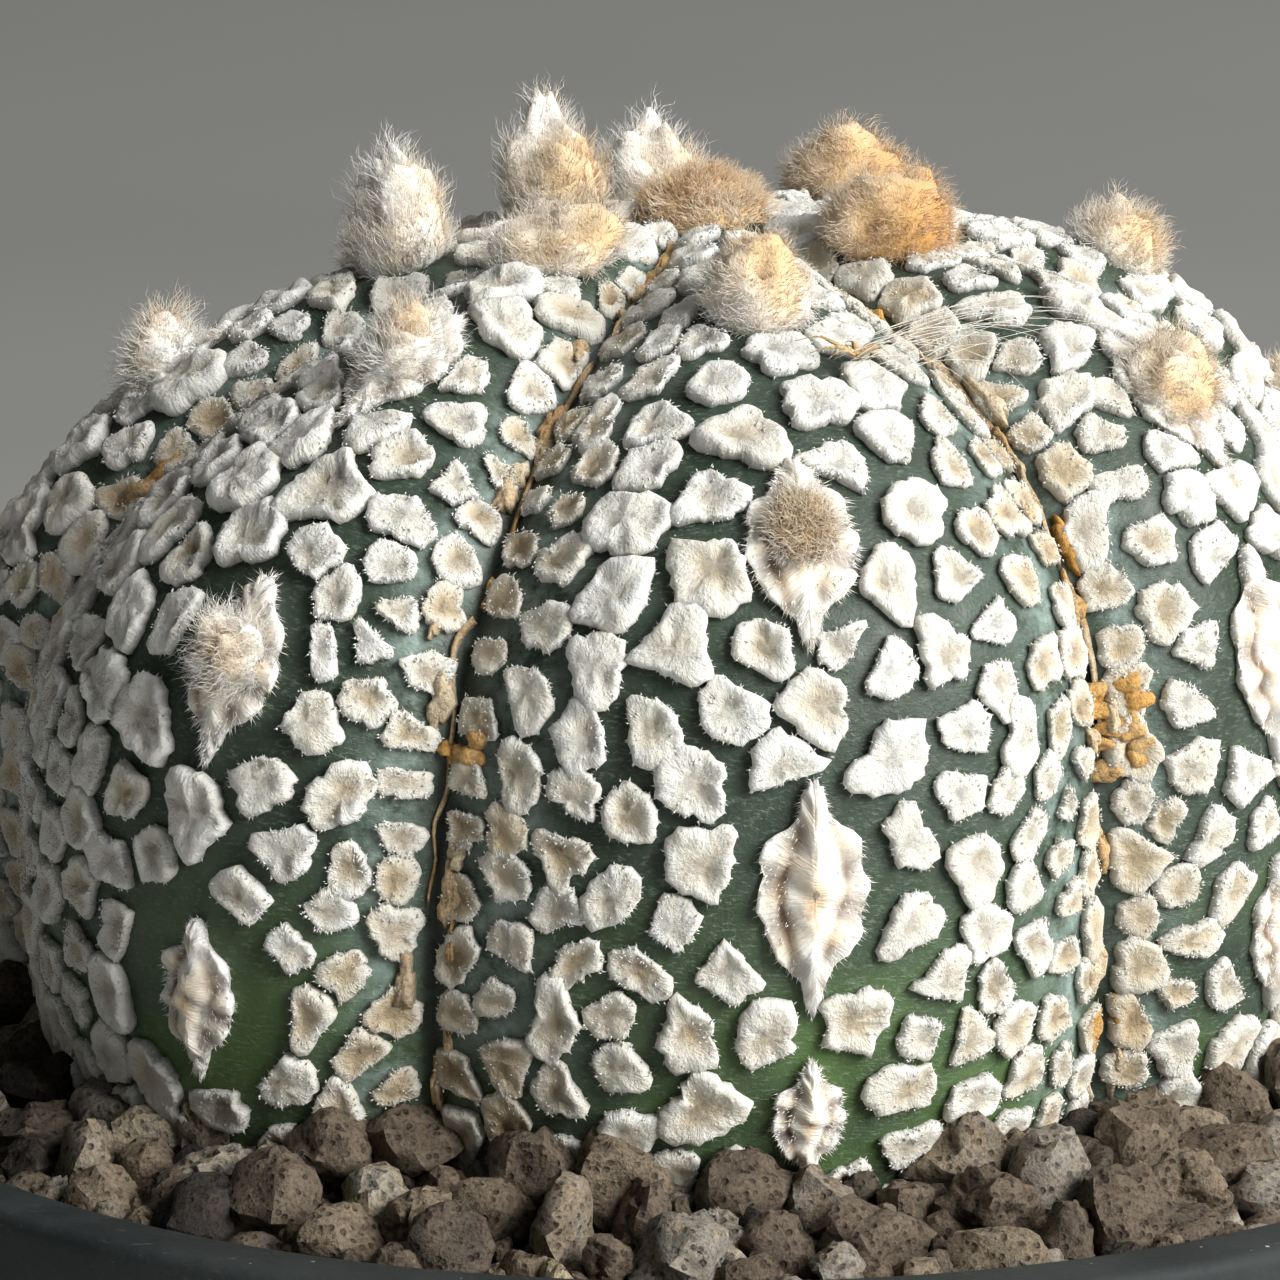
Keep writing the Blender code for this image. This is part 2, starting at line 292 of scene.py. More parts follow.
def shells(
    name: str,
    rings: np.ndarray,
    tops: np.ndarray,
    feet: np.ndarray,
    tone: np.ndarray,
    grain: np.ndarray,
) -> Piece:
    """Many closed shells of one layout, whose poles take the tone and the grain of the first and the last point.

    Args:
        name: name of the piece.
        rings: points of each shell, as (shell, ring, around, xyz).
        tops: upper pole of each shell.
        feet: lower pole of each shell.
        tone: colour coordinates of each point, in the same layout as the rings or one that spreads to it.
        grain: place of each point in the fibre pattern, laid out like the tone.

    Returns:
        All the shells as one piece.
    """
    count, rows, around = rings.shape[:3]
    points = np.concatenate([rings.reshape(count, -1, 3), tops[:, None], feet[:, None]], axis=1)
    layers = []
    for layer in (tone, grain):
        spread = np.broadcast_to(layer, rings.shape).reshape(count, -1, 3)
        layers.append(np.concatenate([spread, spread[:, :1], spread[:, -1:]], axis=1).reshape(-1, 3))
    return Piece(name, points.reshape(-1, 3), *shell_faces(rows, around, count), *layers)


def spikes(name: str, roots: np.ndarray, reach: np.ndarray, width: np.ndarray, tone: np.ndarray) -> Piece:
    """Short straight hairs: each is a three-sided point on a closed triangular root.

    Args:
        name: name of the piece.
        roots: where each hair starts.
        reach: vector from each root to its tip.
        width: radius of each root.
        tone: colour coordinates of each hair.

    Returns:
        All the hairs as one piece.
    """
    first, second = across_vectors(unit(reach))
    ring = triangle(first, second)
    base = roots[:, None] + ring * width[:, None, None]
    points = np.concatenate([base, (roots + reach)[:, None]], axis=1).reshape(-1, 3)
    one = np.array([[0, 1, 3], [1, 2, 3], [2, 0, 3], [2, 1, 0]])
    grain = np.zeros_like(points)
    return Piece(name, points, np.zeros((0, 4), int), repeated(one, len(roots), 4), np.repeat(tone, 4, axis=0), grain)


def strands(name: str, paths: np.ndarray, width: np.ndarray, tone: np.ndarray, taper: float = 0.8) -> Piece:
    """Bent hairs: a three-sided tube that thins along each path and ends in a point.

    Args:
        name: name of the piece.
        paths: points of each hair, as (hair, step, xyz).
        width: radius of each hair at its root.
        tone: colour coordinates at each step of each hair, as (hair, step, 3).
        taper: share of the width that is lost before the last step.

    Returns:
        All the hairs as one piece.
    """
    hairs, steps = paths.shape[:2]
    along = unit(np.gradient(paths, axis=1))
    first, second = across_vectors(along[:, 0])
    ring = triangle(first, second)
    thin = 1 - taper * np.arange(steps - 1) / (steps - 1)
    sides = ring[:, None] * (width[:, None] * thin)[..., None, None]
    tube = paths[:, :-1, None] + sides
    points = np.concatenate([tube.reshape(hairs, -1, 3), paths[:, -1:]], axis=1)
    stride = 3 * (steps - 1) + 1
    walls = grid_quads(steps - 1, 3, True)[:, ::-1]
    last = 3 * (steps - 2)
    tips = np.array([[last, last + 1, stride - 1], [last + 1, last + 2, stride - 1], [last + 2, last, stride - 1]])
    caps = np.concatenate([tips, [[2, 1, 0]]])
    tones = np.concatenate([np.repeat(tone[:, :-1], 3, axis=1), tone[:, -1:]], axis=1).reshape(-1, 3)
    points = points.reshape(-1, 3)
    faces = repeated(walls, hairs, stride), repeated(caps, hairs, stride)
    return Piece(name, points, *faces, tones, np.zeros_like(points))


# ---------------------------------------------------------------- finishes


class Dresser:
    """Adds nodes to one material and joins them up."""

    def __init__(self, name: str) -> None:
        """Start a material whose Principled shader is the only node.

        Args:
            name: name of the material.
        """
        self.material = bpy.data.materials.new(name)
        self.material.use_nodes = True
        self.tree = self.material.node_tree
        self.shader = self.tree.nodes["Principled BSDF"]
        self.place = self.tree.nodes.new("ShaderNodeTexCoord").outputs["Object"]

    def link(self, source: Socket, target: Socket) -> None:
        """Join an output to an input."""
        self.tree.links.new(source, target)

    def attribute(self, name: str) -> bpy.types.Node:
        """Node that reads a point attribute of the piece.

        Args:
            name: name of the attribute.

        Returns:
            The node.
        """
        node = self.tree.nodes.new("ShaderNodeAttribute")
        node.attribute_name = name
        return node

    def channels(self, name: str) -> tuple[Socket, ...]:
        """The three parts of a colour attribute.

        Args:
            name: name of the attribute.

        Returns:
            Red, green and blue.
        """
        node = self.tree.nodes.new("ShaderNodeSeparateColor")
        self.link(self.attribute(name).outputs["Color"], node.inputs["Color"])
        return tuple(node.outputs)

    def noise(
        self, size: float, detail: float = 4.0, roughness: float = 0.55, place: Socket | None = None
    ) -> Socket:
        """Cloud noise whose lumps have a size in metres.

        Args:
            size: width of the lumps or cells in metres.
            detail: how many finer layers are added.
            roughness: how strong the finer layers are.
            place: coordinates to read, instead of the object's.

        Returns:
            The noise, from 0 to 1.
        """
        node = self.tree.nodes.new("ShaderNodeTexNoise")
        node.inputs["Scale"].default_value = 1 / size
        node.inputs["Detail"].default_value = detail
        node.inputs["Roughness"].default_value = roughness
        self.link(place or self.place, node.inputs["Vector"])
        return node.outputs["Fac"]

    def cells(self, size: float, spread: float = 1.0) -> Socket:
        """Distance to the nearest of scattered points, which are about one size apart.

        Args:
            size: width of the lumps or cells in metres.
            spread: how irregular the cells are, from 0 to 1.

        Returns:
            The distance, in cell sizes.
        """
        node = self.tree.nodes.new("ShaderNodeTexVoronoi")
        node.inputs["Scale"].default_value = 1 / size
        node.inputs["Randomness"].default_value = spread
        self.link(self.place, node.inputs["Vector"])
        return node.outputs["Distance"]

    def stretch(self, source: Socket, low: float, high: float) -> Socket:
        """Value mapped so that low gives 0 and high gives 1, clamped between them.

        Args:
            source: the value to map.
            low: the value that gives 0.
            high: the value that gives 1.

        Returns:
            The mapped value.
        """
        node = self.tree.nodes.new("ShaderNodeMapRange")
        node.inputs["From Min"].default_value = low
        node.inputs["From Max"].default_value = high
        self.link(source, node.inputs["Value"])
        return node.outputs["Result"]

    def math(self, kind: str, a: Socket, b: Socket | float) -> Socket:
        """Sum, product or other operation on two values.

        Args:
            kind: name of the operation.
            a: first value.
            b: second value, as a socket or a number.

        Returns:
            The result.
        """
        node = self.tree.nodes.new("ShaderNodeMath")
        node.operation = kind
        self.link(a, node.inputs[0])
        if isinstance(b, float):
            node.inputs[1].default_value = b
        else:
            self.link(b, node.inputs[1])
        return node.outputs[0]

    def ramp(self, source: Socket, stops: list[tuple[float, tuple]]) -> Socket:
        """Colours blended along a value.

        Args:
            source: the value to map.
            stops: positions from 0 to 1, each with its colour.

        Returns:
            The blended colour.
        """
        node = self.tree.nodes.new("ShaderNodeValToRGB")
        points = node.color_ramp.elements
        while len(points) < len(stops):
            points.new(0.5)
        for point, (position, colour) in zip(points, stops):
            point.position = position
            point.color = (*colour, 1.0)
        self.link(source, node.inputs["Fac"])
        return node.outputs["Color"]

    def mix(self, share: Socket, low: Socket, high: Socket | tuple, kind: str = "MIX") -> Socket:
        """Two colours mixed by a share, the second one given as a socket or as a colour.

        Args:
            share: how much of the second colour shows.
            low: first colour.
            high: second colour, as a socket or a plain colour.
            kind: name of the way to blend.

        Returns:
            The mixed colour.
        """
        node = self.tree.nodes.new("ShaderNodeMix")
        node.data_type = "RGBA"
        node.blend_type = kind
        self.link(share, node.inputs["Factor"])
        self.link(low, node.inputs["A"])
        if isinstance(high, tuple):
            node.inputs["B"].default_value = (*high, 1.0)
        else:
            self.link(high, node.inputs["B"])
        return node.outputs["Result"]

    def plain(self, values: dict[str, float | tuple]) -> None:
        """Set values of the shader that are the same all over the surface."""
        for name, value in values.items():
            self.shader.inputs[name].default_value = value

    def finish(
        self, colour: Socket, roughness: Socket | float, relief: list[tuple[Socket, float]]
    ) -> bpy.types.Material:
        """Join colour, roughness and relief to the shader.

        Args:
            colour: base colour.
            roughness: a value, or a socket where it varies.
            relief: heights from 0 to 1, each with its depth in metres.

        Returns:
            The finished material.
        """
        self.link(colour, self.shader.inputs["Base Color"])
        if isinstance(roughness, float):
            self.plain({"Roughness": roughness})
        else:
            self.link(roughness, self.shader.inputs["Roughness"])
        normal = None
        for height, depth in relief:
            node = self.tree.nodes.new("ShaderNodeBump")
            node.inputs["Distance"].default_value = depth
            node.inputs["Strength"].default_value = 1.0
            self.link(height, node.inputs["Height"])
            if normal is not None:
                self.link(normal, node.inputs["Normal"])
            normal = node.outputs["Normal"]
        if normal is not None:
            self.link(normal, self.shader.inputs["Normal"])
        return self.material


@dataclass(frozen=True)
class SkinFinish:
    """Waxy green epidermis: dark above, brighter at the base, with a pale band by the grooves that is partly waxy bloom
    and partly painted sheen, painted shade near black along the groove bottoms, and short pale strokes.

    The grain attribute runs slower round the stem than down it, which draws the strokes out sideways.
    """

    dark: tuple = (0.02, 0.036, 0.02)
    cool: tuple = (0.045, 0.068, 0.048)
    bright: tuple = (0.1, 0.19, 0.04)
    # pale blue-green of the waxy bloom, partly painted sheen on the groove flanks
    bloom_and_sheen: tuple = (0.26, 0.34, 0.31)
    dot: tuple = (0.3, 0.38, 0.29)
    # near-black painted shade for the bottom of the grooves
    groove: tuple = (0.01, 0.015, 0.009)

    def make(self) -> bpy.types.Material:
        """The finish as a material.

        Returns:
            The finished material.
        """
        made = Dresser("stem_skin")
        groove, low, bloom_and_sheen = made.channels("tone")
        colour = made.ramp(made.noise(4 * MM, 3), [(0.35, self.dark), (0.7, self.cool)])
        lit = made.math("MULTIPLY", low, made.stretch(made.noise(9 * MM, 2), 0.35, 0.62))
        colour = made.mix(lit, colour, self.bright)
        # pale band on the groove flanks: waxy bloom, partly painted sheen
        bloom_and_sheen_share = made.math("MULTIPLY", bloom_and_sheen, made.stretch(made.noise(2.4 * MM, 4, 0.7), 0.38, 0.64))
        colour = made.mix(bloom_and_sheen_share, colour, self.bloom_and_sheen)
        strokes = made.stretch(made.noise(0.16 * MM, 3, 0.6, made.attribute("grain").outputs["Vector"]), 0.5, 0.68)
        patch = made.stretch(made.noise(1.1 * MM, 4, 0.7), 0.38, 0.66)
        dots = made.math("MULTIPLY", strokes, patch)
        colour = made.mix(made.math("MULTIPLY", dots, 0.42), colour, self.dot)
        # painted shade: the groove bottoms go near black
        colour = made.mix(groove, colour, self.groove)
        made.plain(
            {
                "Specular IOR Level": 0.45,
                "Subsurface Weight": 0.06,
                "Subsurface Radius": (0.4, 1.0, 0.3),
                "Subsurface Scale": 0.8 * MM,
            }
        )
        rough = made.stretch(made.noise(1.1 * MM, 3), -0.7, 1.6)
        fine = made.noise(0.28 * MM, 3, 0.6)
        return made.finish(colour, rough, [(fine, 0.05 * MM), (dots, 0.05 * MM)])


@dataclass(frozen=True)
class WoolFinish:
    """Matt plant wool. The piece's tone attribute sets the colour: red is tan, green is brown, blue is painted shade.
    The fibre streaks are painted darker in their dips.
    """

    name: str
    white: tuple = (0.9, 0.89, 0.86)
    cream: tuple = (0.84, 0.69, 0.46)
    brown: tuple = (0.62, 0.33, 0.1)
    fibre_size: float = 0.16 * MM
    fibre_depth: float = 0.14 * MM
    # darkens the dips of the fibre streaks: painted shade between the fibres
    hollows: tuple = (0.8, 0.77, 0.73)
    sheen: float = 0.2
    fuzz: float = 0.12 * MM

    def make(self) -> bpy.types.Material:
        """The finish as a material.

        Returns:
            The finished material.
        """
        made = Dresser(self.name)
        tan, brown, shade = made.channels("tone")
        streaks = made.noise(self.fibre_size, 3, 0.6, made.attribute("grain").outputs["Vector"])
        patches = made.noise(1.3 * MM, 4, 0.6)
        tan = made.math("ADD", tan, made.stretch(patches, 0.4, 1.6))
        colour = made.ramp(tan, [(0.04, self.white), (0.85, self.cream)])
        colour = made.mix(brown, colour, self.brown)
        dim = made.ramp(shade, [(0.0, (1.0, 1.0, 1.0)), (1.0, (0.17, 0.12, 0.08))])
        colour = made.mix(made.stretch(patches, -1.0, 0.0), colour, dim, "MULTIPLY")
        # painted shade: the fibre streaks are darker in their dips
        hollow_shade = made.ramp(streaks, [(0.3, self.hollows), (0.6, (1.0, 1.0, 1.0))])
        colour = made.mix(made.stretch(patches, -1.0, 0.0), colour, hollow_shade, "MULTIPLY")
        made.plain(
            {
                "Sheen Weight": self.sheen,
                "Sheen Roughness": 0.4,
                "Specular IOR Level": 0.15,
                "Subsurface Weight": 0.12,
                "Subsurface Radius": (1.0, 0.8, 0.55),
                "Subsurface Scale": 0.5 * MM,
            }
        )
        return made.finish(colour, 0.92, [(streaks, self.fibre_depth), (made.noise(0.34 * MM, 4, 0.65), self.fuzz)])


@dataclass(frozen=True)
class StoneFinish:
    """Porous grit, near black inside its pores as painted shade. The tone attribute's red picks the stone's colour, its
    green darkens it: painted shade in the stones' pits, and on the soil partly its own dark colour, partly painted
    shade of the gaps between stones.
    """

    name: str = "gravel"
    pore_size: float = 0.55 * MM

    def make(self) -> bpy.types.Material:
        """The finish as a material.

        Returns:
            The finished material.
        """
        made = Dresser(self.name)
        kind, dark, _ = made.channels("tone")
        stops = [
            (0.0, (0.03, 0.026, 0.024)),
            (0.25, (0.095, 0.076, 0.06)),
            (0.5, (0.15, 0.118, 0.086)),
            (0.72, (0.235, 0.19, 0.135)),
            (0.88, (0.25, 0.232, 0.205)),
            (1.0, (0.36, 0.3, 0.2)),
        ]
        blotch = made.noise(1.2 * MM, 5, 0.65)
        shifted = made.math("ADD", kind, made.math("MULTIPLY", made.math("SUBTRACT", blotch, 0.5), 0.55))
        colour = made.ramp(shifted, stops)
        grain = made.noise(0.22 * MM, 4, 0.7)
        speckle = made.ramp(grain, [(0.32, (0.42, 0.38, 0.34)), (0.5, (0.95, 0.95, 0.95)), (0.7, (1.35, 1.3, 1.2))])
        colour = made.mix(made.stretch(grain, -1.0, 0.0), colour, speckle, "MULTIPLY")
        pores = made.stretch(made.cells(self.pore_size), 0.16, 0.36)
        # painted shade: near black inside the pores
        colour = made.mix(made.math("MULTIPLY", made.math("SUBTRACT", pores, 1.0), -0.55), colour, (0.03, 0.02, 0.014))
        # painted shade: darker in the stones' pits, and over the soil between the stones
        colour = made.mix(dark, colour, (0.02, 0.015, 0.011))
        made.plain({"Specular IOR Level": 0.2})
        return made.finish(colour, 0.9, [(pores, 0.2 * MM), (grain, 0.16 * MM), (blotch, 0.25 * MM)])


@dataclass(frozen=True)
class PlasticFinish:
    """Dark moulded plastic, dulled by dust, with pale specks and fine scuffs."""

    base: tuple = (0.013, 0.0165, 0.0175)
    worn: tuple = (0.027, 0.032, 0.032)
    dust: tuple = (0.36, 0.36, 0.33)

    def make(self) -> bpy.types.Material:
        """The finish as a material.

        Returns:
            The finished material.
        """
        made = Dresser("pot_plastic")
        cloud = made.noise(6 * MM, 5, 0.6)
        colour = made.ramp(cloud, [(0.35, self.base), (0.68, self.worn)])
        specks = made.stretch(made.cells(1.5 * MM), 0.09, 0.05)
        lucky = made.stretch(made.noise(2.2 * MM, 2), 0.5, 0.56)
        colour = made.mix(made.math("MULTIPLY", specks, lucky), colour, self.dust)
        flat = made.tree.nodes.new("ShaderNodeMapping")
        flat.inputs["Scale"].default_value = (0.35, 1.0, 1.6)
        flat.inputs["Rotation"].default_value = (0.3, 0.2, 0.5)
        made.link(made.place, flat.inputs["Vector"])
        scuffs = made.stretch(made.noise(0.5 * MM, 5, 0.7, flat.outputs["Vector"]), 0.6, 0.74)
        patch = made.stretch(made.noise(5 * MM, 3), 0.48, 0.62)
        colour = made.mix(made.math("MULTIPLY", made.math("MULTIPLY", scuffs, patch), 0.35), colour, self.dust)
        rough = made.stretch(cloud, -1.1, 1.1)
        peel = made.noise(0.45 * MM, 3)
        made.plain({"Specular IOR Level": 0.35})
        return made.finish(colour, rough, [(peel, 0.04 * MM), (scuffs, 0.02 * MM)])


@dataclass(frozen=True)
class PaperyFinish:
    """Thin dry plant tissue, straw to orange: the tone attribute's red deepens it, its green browns it."""

    name: str = "dried_flower"

    def make(self) -> bpy.types.Material:
        """The finish as a material.

        Returns:
            The finished material.
        """
        made = Dresser(self.name)
        depth, brown, _ = made.channels("tone")
        fine = made.noise(0.5 * MM, 4, 0.65)
        shifted = made.math("ADD", depth, made.math("MULTIPLY", made.math("SUBTRACT", fine, 0.5), 0.6))
        stops = [(0.0, (0.72, 0.62, 0.45)), (0.5, (0.64, 0.46, 0.25)), (1.0, (0.68, 0.38, 0.1))]
        colour = made.mix(brown, made.ramp(shifted, stops), (0.16, 0.09, 0.04))
        grit = made.noise(0.2 * MM, 4, 0.7)
        worn = made.ramp(grit, [(0.3, (0.5, 0.42, 0.34)), (0.55, (1.0, 1.0, 1.0))])
        colour = made.mix(made.stretch(grit, -1.0, 0.0), colour, worn, "MULTIPLY")
        made.plain(
            {
                "Specular IOR Level": 0.3,
                "Subsurface Weight": 0.15,
                "Subsurface Radius": (1.0, 0.6, 0.25),
                "Subsurface Scale": 0.5 * MM,
            }
        )
        return made.finish(colour, 0.8, [(fine, 0.2 * MM), (grit, 0.14 * MM)])


# ---------------------------------------------------------------- stem


@dataclass(frozen=True)
class StemShape:
    """The stem's surface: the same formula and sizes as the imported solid's."""

    ribs: int = 8
    front: float = math.radians(7.5)
    radius: float = 36.8 * MM
    rise: float = 26.3 * MM
    drop: float = 30 * MM
    base_fullness: float = 3.0
    shoulder: float = 2.5
    shoulder_side: float = 0.5
    groove_depth: float = 4.0 * MM
    swell: float = 0.08
    swell_azimuth: float = math.radians(-58)
    spread: float = 0.36
    spread_end: float = math.radians(125)
    lean: float = 0.7
    soil_line: float = math.radians(119)
    equator: float = field(default_factory=lambda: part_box("stem")[1].z - 26.3 * MM)

    @property
    def half_width(self) -> float:
        """Half of a rib's width, as an unspread azimuth."""
        return math.pi / self.ribs

    def crest_lean(self, middle: np.ndarray, polar: np.ndarray) -> np.ndarray:
        """How far a rib's crest lies from its middle, in half widths, for the azimuth of its middle."""
        return -self.lean * np.sin(middle) * np.cos(middle / 2) ** 2 * smooth_rise(polar / (math.pi / 2))

    def crest_azimuth(self, rib: np.ndarray, polar: np.ndarray) -> np.ndarray:
        """Unspread azimuth of a rib's crest at a polar angle."""
        middle = 2 * self.half_width * rib
        return self.front + middle + self.crest_lean(middle, polar) * self.half_width

    def rib_place(self, polar: np.ndarray, azimuth: np.ndarray) -> np.ndarray:
        """Distance from the crest, 0 at the crest and 1 at the grooves.

        Args:
            polar: angle from the crown.
            azimuth: unspread azimuth.

        Returns:
            The place, with the shape of the angles.
        """
        offset = azimuth - self.front
        middle = 2 * self.half_width * np.floor(offset / (2 * self.half_width) + 0.5)
        lean = self.crest_lean(middle, polar)
        across = (offset - middle) / self.half_width
        place = np.where(across > lean, (across - lean) / (1 - lean), (lean - across) / (1 + lean))
        return np.clip(place, 0, 1)

    def point(
        self, polar: np.ndarray | float, azimuth: np.ndarray | float, outset: np.ndarray | float = 0.0
    ) -> np.ndarray:
        """Point of the surface.

        A superellipse gives the crest. Each rib falls away to its grooves along the crest's normal,
        about as the square of the distance from its crest.

        Args:
            polar: angle from the crown.
            azimuth: unspread azimuth.
            outset: distance out of the surface.

        Returns:
            Positions, with x, y and z on the last axis.
        """
        polar, azimuth = np.broadcast_arrays(np.asarray(polar, float), np.asarray(azimuth, float))
        turned = azimuth + self.spread * smooth_rise(polar / self.spread_end) * np.sin(azimuth - self.front)
        above = polar <= math.pi / 2
        fullness = np.where(above, self.shoulder + self.shoulder_side * np.sin(turned), self.base_fullness)
        rise = np.where(above, self.rise, self.drop)
        radius = self.radius * (1 + self.swell * np.cos(turned - self.swell_azimuth))
        sine, cosine = np.sin(polar), np.cos(polar)
        across, up = np.abs(sine / radius), np.abs(cosine / rise)
        reach = (across**fullness + up**fullness) ** (-1 / fullness)
        normal_r = across ** (fullness - 1) / radius
        normal_z = np.sign(cosine) * up ** (fullness - 1) / rise
        length = np.hypot(normal_r, normal_z)
        sunk = self.groove_depth * np.clip(sine, 0, 1) ** 0.8 * self.rib_place(polar, azimuth) ** 2.2
        r = np.maximum(reach * sine + (outset - sunk) * normal_r / length, 0.0)
        z = reach * cosine + (outset - sunk) * normal_z / length
        return np.stack([r * np.sin(turned), -r * np.cos(turned), self.equator + z], -1)

    def slopes(self, polar: np.ndarray, azimuth: np.ndarray) -> tuple[np.ndarray, np.ndarray]:
        """How the point moves for a unit of polar angle and for a unit of azimuth.

        Args:
            polar: angle from the crown.
            azimuth: unspread azimuth.

        Returns:
            The two slopes.
        """
        step = math.radians(0.2)
        down = (self.point(polar + step, azimuth) - self.point(polar - step, azimuth)) / (2 * step)
        side = (self.point(polar, azimuth + step) - self.point(polar, azimuth - step)) / (2 * step)
        return down, side

    def frame(self, polar: np.ndarray, azimuth: np.ndarray) -> tuple[np.ndarray, np.ndarray, np.ndarray]:
        """Unit vectors across the rib, up the rib and out of the skin.

        Args:
            polar: angle from the crown.
            azimuth: unspread azimuth.

        Returns:
            The three vectors.
        """
        down, side = self.slopes(polar, azimuth)
        out = unit(np.cross(down, side))
        up = unit(-down)
        return np.cross(up, out), up, out

    def angles_for(
        self, polar: np.ndarray, azimuth: np.ndarray, moves: np.ndarray
    ) -> tuple[np.ndarray, np.ndarray]:
        """Angles after small moves in space: the least-squares step along the surface's two slopes.

        Args:
            polar: angle from the crown.
            azimuth: unspread azimuth.
            moves: small vectors, with any number of them for each point.

        Returns:
            Changes of polar angle and of azimuth.
        """
        down, side = self.slopes(polar, azimuth)
        shape = moves.shape[:-1]
        extra = len(shape) - down.ndim + 1
        down = down.reshape(down.shape[:-1] + (1,) * extra + (3,))
        side = side.reshape(side.shape[:-1] + (1,) * extra + (3,))
        dd, ds, ss = (down * down).sum(-1), (down * side).sum(-1), (side * side).sum(-1)
        md, ms = (moves * down).sum(-1), (moves * side).sum(-1)
        scale = dd * ss - ds * ds
        return (md * ss - ms * ds) / scale, (ms * dd - md * ds) / scale


@dataclass(frozen=True)
class StemSkin:
    """The whole epidermis, with fine dimples, down to the buried base."""

    shape: StemShape
    rows: int = 150
    buried_rows: int = 8
    columns: int = 480
    dimple_size: float = 3.5 * MM
    dimple_depth: float = 0.1 * MM
    stroke_stretch: float = 0.36

    def build(self, material: bpy.types.Material) -> bpy.types.Object:
        """A grid of rings from the crown to the base, closed by a pole at each end.

        Args:
            material: finish of the piece.

        Returns:
            The linked object.
        """
        shape = self.shape
        above = np.linspace(math.radians(1), shape.soil_line + math.radians(2), self.rows)
        below = np.linspace(above[-1], math.radians(178), self.buried_rows + 1)[1:]
        polar = np.concatenate([above, below])[:, None]
        azimuth = shape.front + 2 * math.pi * np.arange(self.columns)[None] / self.columns
        smooth = shape.point(polar, azimuth)
        dimples = cloud_noise(smooth, self.dimple_size, 3, 5) * self.dimple_depth
        dimples[:4] = 0.0
        points = shape.point(polar, azimuth, dimples)
        place = shape.rib_place(np.broadcast_to(polar, smooth.shape[:2]), azimuth)
        # share of painted shade at each groove's bottom
        groove = smooth_rise((place - 0.93) / 0.07) * 0.85
        low = smooth_rise((polar - math.radians(86)) / math.radians(24)) * (0.85 - 0.6 * place)
        # band on the groove flanks: waxy bloom and its painted sheen
        bloom_and_sheen = np.exp(-(((place - 0.8) / 0.13) ** 2)) * np.ones_like(low)
        tone = np.stack(np.broadcast_arrays(groove, low, bloom_and_sheen), -1).reshape(-1, 3)
        rows = len(polar)
        ends = np.array([shape.point(0.0, 0.0), shape.point(math.pi, 0.0)])
        all_points = np.concatenate([points.reshape(-1, 3), ends])
        all_tones = np.concatenate([tone, np.zeros((2, 3))])
        arc = np.concatenate([np.repeat(polar[:, 0], self.columns), [0, math.pi]]) * shape.radius
        grain = np.column_stack([all_points[:, :2] * self.stroke_stretch, arc])
        piece = Piece("stem_skin", all_points, *shell_faces(rows, self.columns), all_tones, grain)
        made = piece.build(material, "stem_skin")
        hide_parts("stem")
        return made


# ---------------------------------------------------------------- areoles


class WoolKind(Enum):
    """How an areole's wool stands."""

    PLUME = "tall and loose, white at the tips"
    BALL = "dense and round, brown in the middle"
    BURR = "short, even and golden brown"
    MIST = "soft and beige"
    COAT = "matted and shaggy, pale"
    TEARDROP = "felt with a brown woolly boss"
    DIAMOND = "flat felt with a ridge"


@dataclass(frozen=True)
class TuftStyle:
    """How one kind of woolly tuft grows. Tones are (tan, brown) pairs at its top, its middle and its foot."""

    half_width: float
    height: float
    hairs: int
    hair: tuple[float, float]
    flow: float
    lumps: float
    waist: float
    top: tuple[float, float]
    middle: tuple[float, float]
    foot: tuple[float, float]


TUFT_STYLES = {
    WoolKind.PLUME: TuftStyle(
        2.6 * MM, 5.2 * MM, 1800, (0.6 * MM, 1.7 * MM), 1.5, 0.42, 1.4, (0.0, 0.0), (0.7, 0.22), (0.2, 0.03)
    ),
    WoolKind.BALL: TuftStyle(
        2.6 * MM, 3.5 * MM, 1800, (0.5 * MM, 1.2 * MM), 0.3, 0.34, 0.9, (0.85, 0.36), (0.45, 0.12), (0.0, 0.0)
    ),
    WoolKind.BURR: TuftStyle(
        3.1 * MM, 3.6 * MM, 2100, (0.6 * MM, 1.3 * MM), 0.25, 0.36, 0.85, (0.9, 0.4), (1.0, 0.66), (1.0, 0.7)
    ),
    WoolKind.MIST: TuftStyle(
        2.6 * MM, 3.1 * MM, 1550, (0.6 * MM, 1.4 * MM), 0.5, 0.38, 1.0, (0.45, 0.1), (0.75, 0.28), (0.1, 0.0)
    ),
    WoolKind.COAT: TuftStyle(
        2.4 * MM, 2.8 * MM, 1550, (0.7 * MM, 1.8 * MM), 0.6, 0.42, 1.1, (0.65, 0.24), (0.08, 0.0), (0.0, 0.0)
    ),
}


# Width of the bare skin round an old areole, as a share of its felt's.
BARE = 1.7
WIDE_BARE = 2.5


@dataclass(frozen=True)
class Areole:
    """One areole: its rib, its row from the crown, where it lies and how its wool stands."""

    rib: int
    row: int
    polar: float
    kind: WoolKind
    gold: float = 1.0
    size: float = 1.0
    bare: float = BARE

    @property
    def node(self) -> str:
        """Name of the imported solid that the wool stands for."""
        return f"areole_{self.rib + 1}_{self.row + 1}"

    @property
    def patch(self) -> tuple[float, float]:
        """Half width and half height of an old areole's felt, which is smallest near the soil.

        Returns:
            Half width and half height.
        """
        if self.row < 3:
            return 2.6 * MM, 5.3 * MM
        return (2.1 * MM, 3.9 * MM) if self.polar < math.radians(104) else (1.7 * MM, 3.0 * MM)

    @property
    def clear(self) -> tuple[float, float]:
        """Half width and half height of the oval round the areole that the flecks keep out of.

        Returns:
            Half width and half height.
        """
        if self.row == 3:
            wide, tall = self.patch
            return self.bare * wide, 1.3 * tall
        wide, tall = ((3.1, 3.0), (2.9, 4.8), (4.0, 5.6))[self.row]
        return wide * MM * self.size, tall * MM


